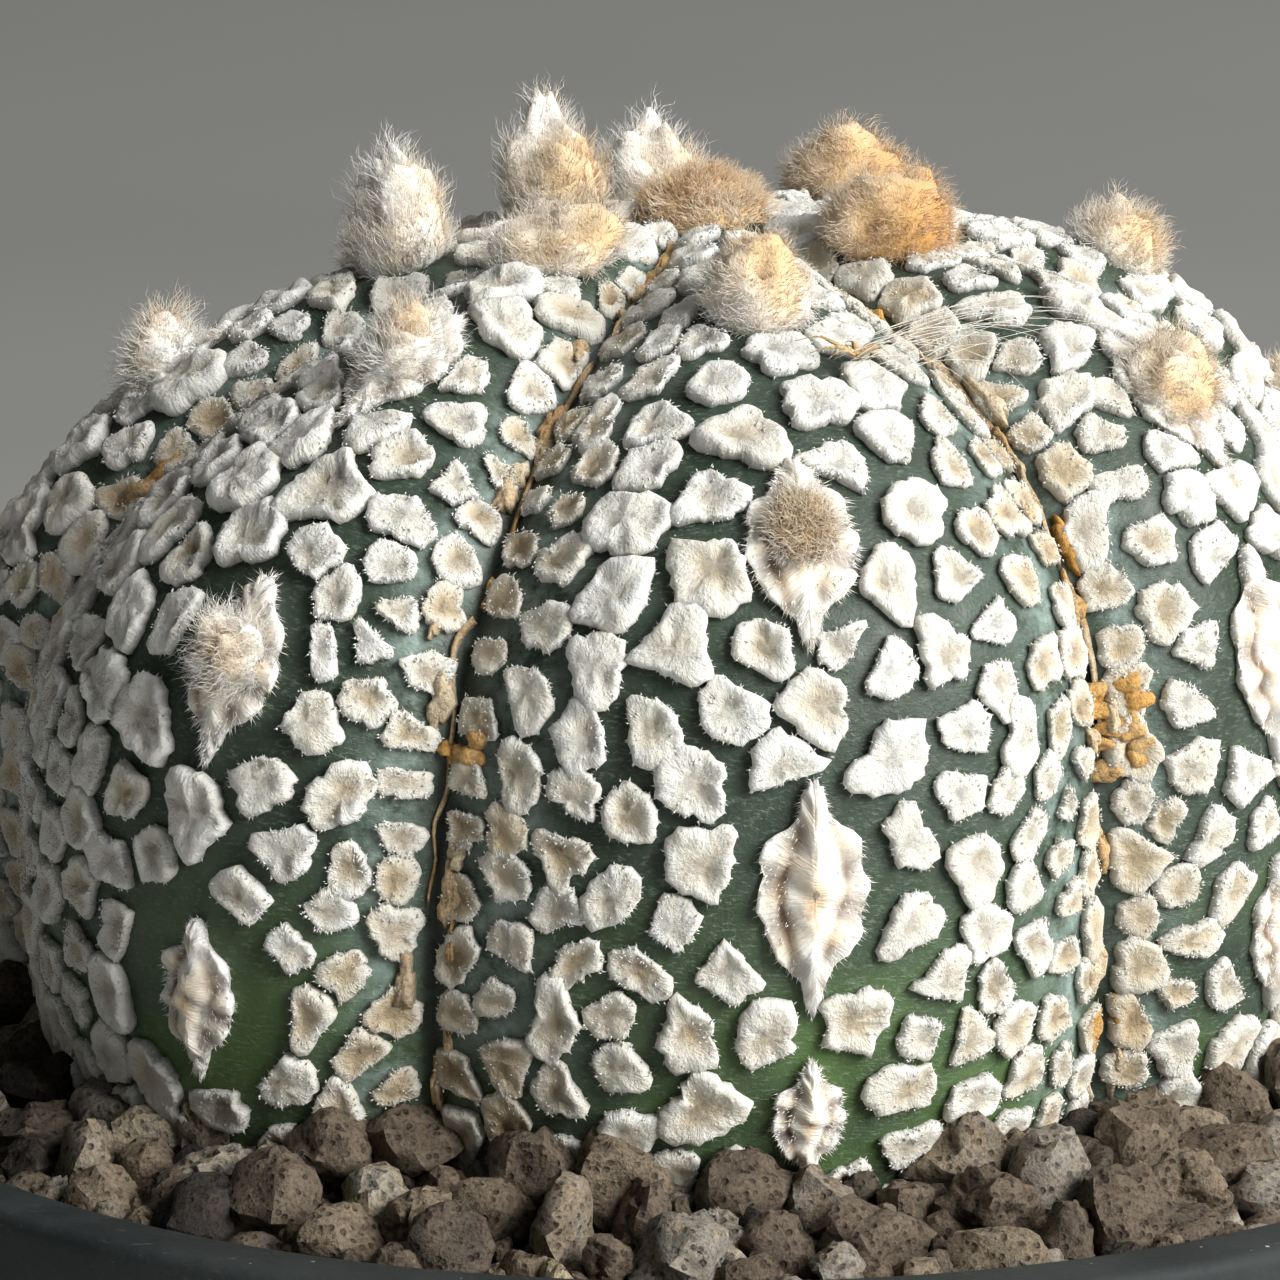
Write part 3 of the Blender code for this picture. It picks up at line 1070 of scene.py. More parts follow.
def areole_table() -> list[Areole]:
    """Every areole: four on each of the eight ribs, from the crown to the soil.

    Returns:
        The areoles, rib by rib.
    """
    angles = {
        0: (40, 66, 91, 108),
        1: (25, 56, 78, 101),
        2: (44, 66, 86, 106),
        3: (28, 54, 77, 100),
        4: (38, 62, 84, 105),
        5: (21, 47, 73, 98),
        6: (33, 57, 80, 103),
        7: (26, 49, 77, 101),
    }
    ball, burr, mist, plume, coat = (WoolKind[k] for k in ("BALL", "BURR", "MIST", "PLUME", "COAT"))
    young = (ball, burr, mist, burr, plume, plume, plume, mist)
    second = (WoolKind.TEARDROP, mist, ball, mist, coat, ball, coat, coat)
    golds = (1.0, 1.0, 0.9, 0.8, 0.5, 1.15, 0.5, 0.95)
    sizes = (1.0, 1.05, 1.0, 1.0, 1.1, 1.0, 1.0, 1.2)
    found = []
    for rib, rows in angles.items():
        third = coat if rib in (5, 7) else WoolKind.DIAMOND
        kinds = (young[rib], second[rib], third, WoolKind.DIAMOND)
        for row, (angle, kind) in enumerate(zip(rows, kinds)):
            gold, size = (golds[rib], sizes[rib]) if row == 0 else (1.0, 1.0)
            bare = WIDE_BARE if rib == 7 else BARE
            found.append(Areole(rib, row, math.radians(angle), kind, gold, size, bare))
    return found


@dataclass(frozen=True)
class AreoleWool:
    """Builds the wool of one areole on the skin."""

    shape: StemShape
    areole: Areole
    chance: np.random.Generator

    def place(self) -> tuple[float, float]:
        """The areole's angles on the stem."""
        polar = self.areole.polar
        return polar, float(self.shape.crest_azimuth(self.areole.rib, polar))

    def axes(self) -> tuple[np.ndarray, np.ndarray, np.ndarray]:
        """Unit vectors across the rib, up the rib and out of the skin, at the areole."""
        return self.shape.frame(*(np.array(angle) for angle in self.place()))

    def axis(self) -> np.ndarray:
        """The way a tuft grows: out of the skin, bent upwards."""
        return unit(self.axes()[2] + np.array([0.0, 0.0, 0.5]))

    def foot(self, out: float = 0.0) -> np.ndarray:
        """The areole's middle, at a distance out of the skin."""
        return self.on_skin(np.zeros(1), np.zeros(1), np.array([out]))[0]

    def on_skin(self, across: np.ndarray, along: np.ndarray, out: np.ndarray) -> np.ndarray:
        """Points at distances across and up the rib from the areole, and out of the skin there.

        Args:
            across: distances across the rib.
            along: distances up the rib.
            out: distances out of the skin.

        Returns:
            Positions.
        """
        polar, azimuth = self.place()
        right, up, _ = self.axes()
        moves = across[..., None] * right + along[..., None] * up
        more_polar, more_azimuth = self.shape.angles_for(np.array(polar), np.array(azimuth), moves)
        return self.shape.point(polar + more_polar, azimuth + more_azimuth, out)

    def build(self, material: bpy.types.Material) -> bpy.types.Object:
        """Make the wool that fits the areole's kind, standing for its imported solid.

        Args:
            material: finish of the piece.

        Returns:
            The linked object.
        """
        kind = self.areole.kind
        name = f"{self.areole.node}_wool"
        if kind in TUFT_STYLES:
            parts = self.tuft(name, TUFT_STYLES[kind], (1.0, 0.86, 0.72, 0.6)[self.areole.row])
            if self.areole.row > 0:
                parts += self.felt(name, 2.5 * MM, 4.4 * MM, 0.75, 0.35 * MM, 0.6)
        elif kind is WoolKind.TEARDROP:
            parts = self.felt(name, 2.6 * MM, 4.5 * MM, 0.75, 0.4 * MM, 0.68) + self.boss(name)
        else:
            wide, tall = self.areole.patch
            parts = self.felt(name, wide, tall, 0.25, 0.7 * MM * wide / (2.6 * MM), 0.42)
        made = joined(name, parts).build(material, "areole_wool")
        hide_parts(self.areole.node)
        return made

    def tuft(self, name: str, style: TuftStyle, scale: float) -> list[Piece]:
        """A woolly tuft: a lumpy closed body, covered all over with short curly hairs.

        Args:
            name: name of the piece.
            style: how the tuft grows.
            scale: size of this tuft beside its style's sizes.

        Returns:
            The body and the hairs.
        """
        chance = self.chance
        rings, around = 14, 36
        ring = np.linspace(0.06, 1, rings)[:, None]
        angle = turns(around)[None]
        skin = self.body(style, scale, ring, angle)
        poles = self.body(style, scale, np.array([0.0, 1.0]), np.array([0.0, 0.0]))
        poles[1] = self.foot(-0.4 * MM)
        body = closed_disc(name, skin.reshape(-1, 3), poles, rings, around, (0, 0, 0))
        body.tone[:-2] = self.tuft_tone(style, ring + 0 * angle, skin).reshape(-1, 3)
        body.tone[-2:] = body.tone[0]
        count = int(style.hairs * (0.35 + 0.65 * scale))
        place = np.sqrt(chance.uniform(0, 1, count)) * 0.96
        turn = chance.uniform(0, 2 * math.pi, count)
        roots = self.body(style, scale, place, turn)
        step = 0.02
        down = self.body(style, scale, place + step, turn) - self.body(style, scale, place - step, turn)
        around_way = self.body(style, scale, place, turn + step) - self.body(style, scale, place, turn - step)
        normal = unit(np.cross(down, around_way))
        stir = sway(roots, 0.9 * MM, 12)
        heading = unit(normal + style.flow * self.axis() + 0.75 * stir + chance.normal(0, 0.28, (count, 3)))
        low, high = style.hair
        long = (low + (high - low) * chance.uniform(0, 1, count) ** 1.5) * (1 + 0.35 * stir[:, 0])
        paths = curls(roots, heading, long, chance.uniform(0, 2 * math.pi, (count, 1)), 4, 0.2)
        tone = self.tuft_tone(style, place, roots)[:, None] * np.linspace(1, 0.6, 4)[None, :, None]
        hairs = strands(name, paths, chance.uniform(0.016, 0.028, count) * MM, tone)
        return [body, hairs]

    def tuft_tone(self, style: TuftStyle, place: np.ndarray, spots: np.ndarray) -> np.ndarray:
        """Tone of the wool from a tuft's top, at place 0, to its foot, at place 1, stirred by noise.

        The side towards -X stays whiter than the other.

        Args:
            style: how the tuft grows.
            place: place on the body, from 0 at the top to 1 at the foot.
            spots: positions on the wool.

        Returns:
            Tan, brown and shade of each spot.
        """
        mixed = place + 0.22 * lattice_noise(spots / (1.6 * MM), 44)
        marks = (0.12, 0.5, 0.92)
        tan, brown = (
            np.interp(mixed, marks, (style.top[k], style.middle[k], style.foot[k])) for k in (0, 1)
        )
        patch = 0.12 * lattice_noise(spots / (0.7 * MM), 45)
        gold = self.areole.gold * np.clip(1 + 0.6 * (spots - self.foot())[..., 0] / style.half_width, 0.3, 1.5)
        tan, brown = np.clip(gold * tan + patch, 0, 1), np.clip(gold * brown + 0.5 * patch, 0, 1)
        return np.stack([tan, brown, np.zeros_like(tan)], -1)

    def body(self, style: TuftStyle, scale: float, place: np.ndarray, turn: np.ndarray) -> np.ndarray:
        """Points of a tuft's body, from its top, at place 0, to its foot, at place 1.

        The radius rises as the sine of the place over a quarter turn and a bit, raised to the waist's power;
        the height falls as its cosine. Noise in the direction from the middle pushes the body in and out.

        Args:
            style: how the tuft grows.
            scale: size of this tuft beside its style's sizes.
            place: place on the body, from 0 at the top to 1 at the foot.
            turn: angle round the middle.

        Returns:
            Positions.
        """
        place, turn = np.broadcast_arrays(place, turn)
        right, up, _ = self.axes()
        swing = np.clip(place, 0, 1.05) * math.radians(128)
        radius = np.abs(np.sin(swing)) ** style.waist * style.half_width * scale * self.areole.size
        height = (np.cos(swing) + 0.35) / 1.35 * style.height * scale / self.areole.size
        u, v = radius * np.cos(turn), radius * np.sin(turn)
        way = np.stack([np.sin(swing) * np.cos(turn), np.sin(swing) * np.sin(turn), np.cos(swing)], -1)
        seed = 5 * self.areole.rib + self.areole.row
        lump = style.lumps * (lattice_noise(way * 1.6 + 3.7 * seed, 51) + 0.5 * lattice_noise(way * 3.8 + seed, 52))
        base = self.on_skin(u * 0.8, v * 0.8, -0.3 * MM * np.ones_like(u))
        grow = 1 + lump * np.clip(1.1 - place, 0, 1)
        raised = self.foot() + right * (u * grow)[..., None] + up * (v * grow)[..., None]
        raised = raised + self.axis() * (height * grow)[..., None]
        share = smooth_rise((place - 0.8) / 0.2)[..., None]
        return raised * (1 - share) + base * share

    def felt(self, name: str, wide: float, tall: float, fluff: float, ridge: float, neck: float) -> list[Piece]:
        """A felted patch, pointed below and drawn up to a nub above, with a spine and lobes like a feather's.

        The spine is a bell curve across the patch, wider half way up and narrow at both ends. A furrow runs
        along each side of it, deeper on the left. The lobes are fluted by a cosine of the barb coordinate.

        Args:
            name: name of the piece.
            wide: half width of the patch.
            tall: half height of the patch.
            fluff: how hairy the patch's face is, from 0 to 1.
            ridge: height of the spine above the patch.
            neck: width of the neck beside that of the patch.

        Returns:
            The pad and its hairs.
        """
        rings, around = 16, 80
        outline_u, outline_v = self.patch_outline(turns(around), neck)
        radius = np.concatenate([np.linspace(0.06, 0.94, rings - 2), [1.0, 1.0, 0.9]])[:, None]
        u, v = radius * outline_u[None], radius * outline_v[None]
        bent = u - 0.07 * np.sin(2.6 * v + 1.7 * self.areole.rib)
        flutes = self.flutes(u, v)
        width = 0.22 + 0.22 * np.exp(-(((v - 0.02) / 0.38) ** 2)) + 0.08 * smooth_rise((v - 0.55) / 0.3)
        knobs = 0.9 + 0.16 * np.sin(7.5 * v + self.areole.rib) + 0.1 * np.sin(17 * v + u * 6)
        crest = np.exp(-(np.abs(bent / width) ** 2.6)) * (1 - 0.6 * radius**3) * knobs
        side = (np.abs(bent) - width * 1.4) / 0.08
        furrow = np.exp(-(side**2)) * (1 - np.abs(v)) * np.where(bent < 0, 1.0, 0.4)
        lobe = (1 - np.clip(crest, 0, 1)) * smooth_rise(radius * 1.6)
        where = np.stack([u * wide, v * tall, np.zeros_like(u) + self.areole.rib * 9 * MM], -1)
        crumple = cloud_noise(where, 0.9 * MM, 3, 41)
        face = 0.6 * MM * (1 - 0.3 * radius**2) + ridge * crest + 0.2 * MM * flutes * lobe
        face = face + 0.27 * MM * crumple - 0.3 * MM * furrow * min(ridge / MM, 1.0)
        face[-2] = 0.3 * MM
        face[-1] = -0.25 * MM
        points = self.on_skin(u * wide, v * tall, face).reshape(-1, 3)
        poles = self.on_skin(np.zeros(2), np.zeros(2), np.array([face[0].mean(), -0.25 * MM]))
        inner = lobe * np.clip(1.25 - radius**4, 0, 1)
        tan = np.clip(0.04 + 0.26 * inner - 0.4 * radius**8 + 0.12 * flutes * lobe + 0.25 * crumple, 0, 1)
        spot = np.exp(-((bent / 0.17) ** 2) - ((v + 0.1) / 0.15) ** 2)
        tan = np.clip(tan + 0.5 * np.exp(-((bent / 0.3) ** 2) - ((v + 0.02) / 0.3) ** 2), 0, 1)
        # The brown in the furrows beside the spine is painted shade; the spot is the areole's own brown.
        brown = np.clip(0.5 * spot + 0.35 * furrow, 0, 1)
        shade = np.clip(0.9 * furrow + 0.26 * inner + 0.4 * (1 - flutes) * inner * radius - 0.12, 0, 0.9)
        pad = closed_disc(name, points, poles, rings + 1, around, (0.2, 0.1, 0.0))
        pad.tone[:-2] = np.stack([tan, brown, shade], -1).reshape(-1, 3)
        barb, out = self.barb(u, v) * 1.6 * tall, np.abs(u) * 0.25 * wide
        pad.grain[:-2] = np.stack([barb, out, np.sign(u) * MM], -1).reshape(-1, 3)
        return [pad, self.felt_hairs(name, wide, tall, fluff, neck)]

    def barb(self, u: np.ndarray, v: np.ndarray) -> np.ndarray:
        """Where on the spine the barb through a place starts: barbs fan out, up from the top, down from the tip."""
        return v / (1 + 1.1 * np.abs(u))

    def flutes(self, u: np.ndarray, v: np.ndarray) -> np.ndarray:
        """Waves of the lobes, from -1 to 1: a cosine along the spine, stirred by a slower sine."""
        barb = self.barb(u, v)
        return np.cos(21 * barb + 0.9 * np.sin(8 * barb + self.areole.rib) + np.where(u < 0, 1.4, 0.0))

    def patch_outline(self, angle: np.ndarray, neck: float) -> tuple[np.ndarray, np.ndarray]:
        """Outline of a felted patch: a lobed oval with a rounded neck above and a drawn-out tail below.

        Args:
            angle: angles round the middle.
            neck: width of the neck beside that of the patch.

        Returns:
            Place across and place up, as shares of the half width and the half height.
        """
        u, v = np.cos(angle), np.sin(angle)
        shoulder = 1 - (1 - neck) * smooth_rise((v - 0.4) / 0.32)
        tail = 1 - 0.62 * smooth_rise((-v - 0.3) / 0.7)
        reach = 1 + 0.14 * np.exp(-(((v + 1) / 0.08) ** 2))
        lobes = 1 + 0.06 * self.flutes(u, v) + 0.025 * np.sin(angle * 27)
        return u * shoulder * tail * lobes, v * reach * (0.6 + 0.4 * lobes)

    def felt_hairs(self, name: str, wide: float, tall: float, fluff: float, neck: float) -> Piece:
        """Short hairs round a felted patch's edge, and lying on its face.

        Args:
            name: name of the piece.
            wide: half width of the patch.
            tall: half height of the patch.
            fluff: how hairy the patch's face is, from 0 to 1.
            neck: width of the neck beside that of the patch.

        Returns:
            The hairs as one piece.
        """
        chance = self.chance
        count = int(520 + 500 * fluff)
        angle = chance.uniform(0, 2 * math.pi, count)
        edge = chance.uniform(0, 1, count) < 0.6
        radius = np.where(edge, chance.uniform(0.9, 1.0, count), np.sqrt(chance.uniform(0, 0.85, count)))
        outline_u, outline_v = self.patch_outline(angle, neck)
        u, v = radius * outline_u, radius * outline_v
        out = np.where(edge, chance.uniform(0.15, 0.6, count), 0.6) * MM
        roots = self.on_skin(u * wide, v * tall, out)
        right, up, normal = self.axes()
        heading = unit(u[:, None] * right / wide * MM + v[:, None] * up / tall * MM - 0.18 * up)
        lift = np.where(edge, chance.uniform(-0.25, 0.45, count), chance.uniform(0.3, 0.9, count))
        direction = unit(heading + lift[:, None] * normal + chance.normal(0, 0.28, (count, 3)))
        reach = chance.uniform(0.25, 0.75, count) * (0.45 + 0.6 * fluff) * MM
        tone = np.stack([chance.uniform(0, 0.25, count), 0 * reach, 0 * reach], -1)
        return spikes(name, roots, direction * reach[:, None], chance.uniform(0.02, 0.035, count) * MM, tone)

    def boss(self, name: str) -> list[Piece]:
        """The brown woolly boss of a middle-aged areole: a low mound under short matted hairs.

        Args:
            name: name of the piece.

        Returns:
            The mound and its hairs.
        """
        chance, count = self.chance, 1500
        wide, tall, rise = 1.7 * MM, 2.0 * MM, 0.85 * MM
        right, up, out = self.axes()
        angle = chance.uniform(0, 2 * math.pi, count)
        ring = np.sqrt(chance.uniform(0, 1, count))
        hole = np.hypot(ring * np.cos(angle) - 0.1, ring * np.sin(angle) + 0.35) < 0.14
        angle, ring = angle[~hole], ring[~hole]
        count = len(ring)
        u, v = ring * np.cos(angle), ring * np.sin(angle)
        dome = np.sqrt(np.maximum(1 - ring**2, 0))
        roots = self.on_skin(u * wide, v * tall + 0.6 * MM, 0.5 * MM + rise * dome)
        tangle = chance.normal(0, 0.7, (count, 3))
        direction = unit(out * 0.55 + (right * u[:, None] + up * v[:, None]) * 0.7 + tangle)
        reach = chance.uniform(0.5, 1.1, count) * MM
        steps = np.linspace(0, 1, 4)
        side, _ = across_vectors(direction)
        curl = side[:, None] * (0.35 * reach[:, None] * steps[None] ** 2)[..., None]
        paths = roots[:, None] + direction[:, None] * (reach[:, None] * steps[None])[..., None] + curl
        edge = smooth_rise((ring - 0.55) / 0.45)[:, None] * np.ones((1, 4))
        tan = 0.6 - 0.5 * edge + 0.1 * steps[None]
        brown = (0.2 + 0.18 * chance.uniform(-1, 1, (count, 1))) * (1 - edge)
        # The third channel is painted shade, deepest at the hairs' roots.
        tone = np.stack([tan, brown, np.clip(0.3 - 0.35 * steps[None], 0, 1) * np.ones_like(tan)], -1)
        hairs = strands(name, paths, chance.uniform(0.018, 0.028, count) * MM, tone)
        around, rings = 28, 8
        radius = np.concatenate([np.linspace(0.12, 1, rings), [0.95]])[:, None]
        mu, mv = radius * np.cos(turns(around)[None]), radius * np.sin(turns(around)[None])
        height = 0.4 * MM + rise * np.sqrt(np.maximum(1 - radius**2, 0)) * np.ones_like(mu)
        height[-1] = 0.0
        points = self.on_skin(mu * wide, mv * tall + 0.6 * MM, height).reshape(-1, 3)
        poles = self.on_skin(np.zeros(2), np.full(2, 0.6 * MM), np.array([0.4 * MM + rise, 0.0]))
        # The mound's tone carries half painted shade, as it lies under the hairs.
        return [closed_disc(name, points, poles, rings + 1, around, (0.9, 0.5, 0.5)), hairs]


def closed_disc(
    name: str,
    points: np.ndarray,
    poles: np.ndarray,
    rings: int,
    around: int,
    tone: tuple[float, float, float],
) -> Piece:
    """A closed shell from rings of points that go from the upper pole over an edge and under to the lower pole.

    Args:
        name: name of the piece.
        points: points of the rings, in order.
        poles: the upper and the lower pole.
        rings: number of rings.
        around: points in each ring.
        tone: colour coordinates of every point.

    Returns:
        The shell, whose grain is its points' own place.
    """
    every = np.concatenate([points, poles])
    tones = np.tile(np.array(tone, float), (len(every), 1))
    return Piece(name, every, *shell_faces(rings, around), tones, every.copy())


@dataclass(frozen=True)
class CrownWool:
    """The golden mat of young wool over the growing point."""

    wide: float = 3.6 * MM
    hairs: int = 2600
    rings: int = 12
    around: int = 40

    def dome(self, place: np.ndarray, turn: np.ndarray) -> np.ndarray:
        """Points of the mat's body: a flat dome with lumps, whose height falls as one less the square of the place.

        Args:
            place: distance from the middle, from 0 to 1 at the edge.
            turn: angle round the middle.

        Returns:
            Positions.
        """
        place, turn = np.broadcast_arrays(place, turn)
        lowest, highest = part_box("crown_wool")
        way = np.stack([place * np.cos(turn), place * np.sin(turn), 0 * place], -1)
        lump = 1 + 0.35 * lattice_noise(way * 2.3 + 4.0, 61) + 0.2 * lattice_noise(way * 5.0, 62)
        rise = (highest.z - lowest.z - 1.9 * MM) * (1 - place**2) * lump
        points = way * self.wide * (1 + 0.15 * lattice_noise(way * 2.0, 63))[..., None]
        points[..., 2] = lowest.z + np.maximum(rise, 0) - 0.6 * MM * smooth_rise((place - 0.8) / 0.2)
        return points

    def build(self, material: bpy.types.Material, chance: np.random.Generator) -> bpy.types.Object:
        """The body, and short curly hairs that lean out from its middle, golden in patches and pale at the tips.

        Args:
            material: finish of the piece.
            chance: source of the random draws.

        Returns:
            The linked object.
        """
        ring = np.linspace(0.07, 1, self.rings)[:, None]
        skin = self.dome(ring, turns(self.around)[None])
        poles = self.dome(np.array([0.0, 1.0]), np.array([0.0, 0.0]))
        poles[1] = poles[0] * [0, 0, 1] - [0, 0, 5 * MM]
        body = closed_disc("crown_wool_mat", skin.reshape(-1, 3), poles, self.rings, self.around, (1.0, 0.35, 0.0))
        place = np.sqrt(chance.uniform(0, 1, self.hairs)) * 0.98
        angle = chance.uniform(0, 2 * math.pi, self.hairs)
        roots = self.dome(place, angle)
        stir = sway(roots, 1.0 * MM, 66)
        lean = np.stack([place * np.cos(angle), place * np.sin(angle), 0.7 + 0 * place], -1)
        heading = unit(unit(lean) + 0.8 * stir + chance.normal(0, 0.3, (self.hairs, 3)))
        long = chance.uniform(0.6, 1.4, self.hairs) * MM
        paths = curls(roots, heading, long, chance.uniform(0, 2 * math.pi, (self.hairs, 1)), 5, 0.17)
        fade = 0.2 * np.linspace(0, 1, 5)[None]
        tan = np.clip(0.8 + 0.5 * stir[:, :1] - fade, 0, 1)
        brown = np.clip(0.42 + 0.4 * stir[:, :1] - fade, 0, 1)
        tone = np.stack([tan, brown, 0 * tan], -1)
        hairs = strands("crown_wool_mat", paths, chance.uniform(0.024, 0.038, self.hairs) * MM, tone)
        made = joined("crown_wool_mat", [body, hairs]).build(material, "areole_wool")
        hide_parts("crown_wool")
        return made


# ---------------------------------------------------------------- flecks


@dataclass
class FleckSites:
    """Where the flecks sit: arrays with one entry for each fleck."""

    rib: np.ndarray
    polar: np.ndarray
    azimuth: np.ndarray
    spread: np.ndarray

    def keep(self, wanted: np.ndarray) -> "FleckSites":
        """The sites that are wanted."""
        return FleckSites(self.rib[wanted], self.polar[wanted], self.azimuth[wanted], self.spread[wanted])


@dataclass
class FleckField:
    """The woolly flecks: felted pads packed like cells over the ribs, clear of the areoles and the grooves.

    The pitch is the room that a fleck wants. Neighbours leave a gap, a crack where the draw falls short of
    the cracked share, or overlap where they have fused.
    """

    shape: StemShape
    areoles: list[Areole]
    chance: np.random.Generator
    pitch: float = 3.1 * MM
    gap: float = 0.7 * MM
    crack: float = 0.14 * MM
    around: int = 32
    thickness: float = 0.66 * MM
    neighbours: int = 12
    closeness: float = 0.54
    push: float = 0.2
    areole_push: float = 0.3
    fused_on_flank: float = 0.5
    fused_elsewhere: float = 0.1
    cracked: float = 0.48
    overlap: float = 1.1 * MM
    straightness: float = 18.0
    fringe_hairs: int = 78
    extra_tries: int = 16000

    def first_sites(self) -> FleckSites:
        """Sites in columns that run beside the grooves, at even steps down each rib.

        Returns:
            The sites.
        """
        shape = self.shape
        polar_line = np.linspace(math.radians(9), shape.soil_line - math.radians(1), 400)
        line = shape.point(polar_line, shape.front)
        arc = np.concatenate([[0], np.cumsum(np.linalg.norm(np.diff(line, axis=0), axis=-1))])
        ribs, polars, azimuths = [], [], []
        for along in np.arange(0.4 * self.pitch, arc[-1], self.pitch):
            polar = float(np.interp(along, arc, polar_line))
            for rib in range(shape.ribs):
                middle = shape.front + 2 * shape.half_width * rib
                samples = middle + np.linspace(-1, 1, 61) * shape.half_width * 0.999
                across = shape.point(polar, samples)
                width = np.concatenate([[0], np.cumsum(np.linalg.norm(np.diff(across, axis=0), axis=-1))])
                crest = float(shape.crest_azimuth(rib, polar))
                left = float(np.interp(crest, samples, width))
                columns = []
                for side_width, sign, start in ((left, 1, 0.0), (width[-1] - left, -1, width[-1])):
                    places = 1.6 * MM + self.pitch * np.arange(12)
                    columns += [start + sign * at for at in places if at < side_width - 0.3 * self.pitch]
                for count, at in enumerate(columns):
                    ribs.append(rib)
                    shift = 0.5 * (count % 2) * self.pitch
                    polars.append(float(np.interp(along + shift, arc, polar_line)))
                    azimuths.append(float(np.interp(at, width, samples)))
        spread = self.chance.uniform(0.62, 1.26, len(ribs))
        return FleckSites(np.array(ribs), np.array(polars), np.array(azimuths), spread)

    def areole_ways(self, points: np.ndarray) -> tuple[np.ndarray, np.ndarray]:
        """Vectors from every areole to every point, and how far its clear oval reaches that way.

        The reach of an egg in a direction is one over the root of the sum of the squares of the direction's
        shares, each divided by its half size.

        Args:
            points: positions on the skin.

        Returns:
            The vectors, and the reach along each of them.
        """
        polar = np.array([a.polar for a in self.areoles])
        azimuth = self.shape.crest_azimuth(np.array([a.rib for a in self.areoles]), polar)
        clear = np.array([a.clear for a in self.areoles])
        right, up, out = self.shape.frame(polar, azimuth)
        ways = points[:, None] - self.shape.point(polar, azimuth)[None]
        heading = unit(ways)
        u, v, w = ((heading * way[None]).sum(-1) for way in (right, up, out))
        return ways, 1 / np.sqrt((u**2 + w**2) / clear[:, 0] ** 2 + v**2 / clear[:, 1] ** 2)

    def hold(self, sites: FleckSites, azimuth: np.ndarray, margin: float) -> np.ndarray:
        """Azimuths kept between the grooves of their own rib, a share of its half width short of them.

        Args:
            sites: the flecks' sites.
            azimuth: azimuths to keep in.
            margin: share of the half width to stay clear of the groove.

        Returns:
            The azimuths, kept in.
        """
        middle = self.shape.front + 2 * self.shape.half_width * sites.rib
        limit = self.shape.half_width * (1 - margin)
        middle = middle.reshape(middle.shape + (1,) * (azimuth.ndim - middle.ndim))
        return np.clip(azimuth, middle - limit, middle + limit)

    def wanted(self, sites: FleckSites) -> np.ndarray:
        """Room that each fleck wants: more on the crest of a rib than beside a groove or low down."""
        place = self.shape.rib_place(sites.polar, sites.azimuth)
        return self.pitch * sites.spread * (1.6 - 0.68 * place - 0.16 * smooth_rise((sites.polar - 1.5) / 0.5))

    def relaxed(self, sites: FleckSites, rounds: int) -> FleckSites:
        """Sites pushed apart from each other and from the areoles, a little in each round.

        Args:
            sites: the flecks' sites.
            rounds: how many rounds of pushing.

        Returns:
            The moved sites.
        """
        shape = self.shape
        polar, azimuth = sites.polar, sites.azimuth
        down_limit = shape.soil_line + math.radians(1)
        same = np.eye(len(polar))
        for _ in range(rounds):
            points = shape.point(polar, azimuth)
            rest = self.wanted(FleckSites(sites.rib, polar, azimuth, sites.spread))
            apart = points[:, None] - points[None]
            distance = np.linalg.norm(apart, axis=-1) + same
            push = np.clip(self.closeness * (rest[:, None] + rest[None]) - distance, 0, None) * (1 - same)
            move = (apart / distance[..., None] * push[..., None]).sum(1) * self.push
            ways, clear = self.areole_ways(points)
            off = np.linalg.norm(ways, axis=-1)
            push = np.clip(clear + 0.34 * rest[:, None] - off, 0, None)
            move += (ways / off[..., None] * push[..., None]).sum(1) * self.areole_push
            more_polar, more_azimuth = shape.angles_for(polar, azimuth, move)
            polar = np.clip(polar + more_polar, math.radians(8), down_limit)
            azimuth = self.hold(sites, azimuth + more_azimuth, 0.085)
        return FleckSites(sites.rib, polar, azimuth, sites.spread)

    def thinned(self, sites: FleckSites) -> FleckSites:
        """Sites without those inside an areole's clear oval and those too close to an earlier one.

        Args:
            sites: the flecks' sites.

        Returns:
            The sites that stay.
        """
        points = self.shape.point(sites.polar, sites.azimuth)
        ways, clear = self.areole_ways(points)
        good = (np.linalg.norm(ways, axis=-1) > clear + 0.45 * MM).all(1)
        distance = np.linalg.norm(points[:, None] - points[None], axis=-1)
        want = self.wanted(sites)
        kept = np.zeros(len(points), bool)
        for k in np.flatnonzero(good):
            kept[k] = not (kept & (distance[k] < 0.33 * (want[k] + want))).any()
        return sites.keep(kept)

    def sites(self) -> FleckSites:
        """The first sites jittered, spread, thinned, and spread again into the room that this left.

        Returns:
            The final sites.
        """
        sites, chance = self.first_sites(), self.chance
        sites.polar = sites.polar + chance.normal(0, math.radians(0.9), len(sites.polar))
        jitter = chance.normal(0, math.radians(0.8), len(sites.polar))
        sites.azimuth = self.hold(sites, sites.azimuth + jitter, 0.09)
        sites = self.thinned(self.relaxed(sites, 6))
        sites = self.thinned(self.relaxed(sites, 10))
        return self.thinned(self.relaxed(self.filled(sites, self.extra_tries), 8))

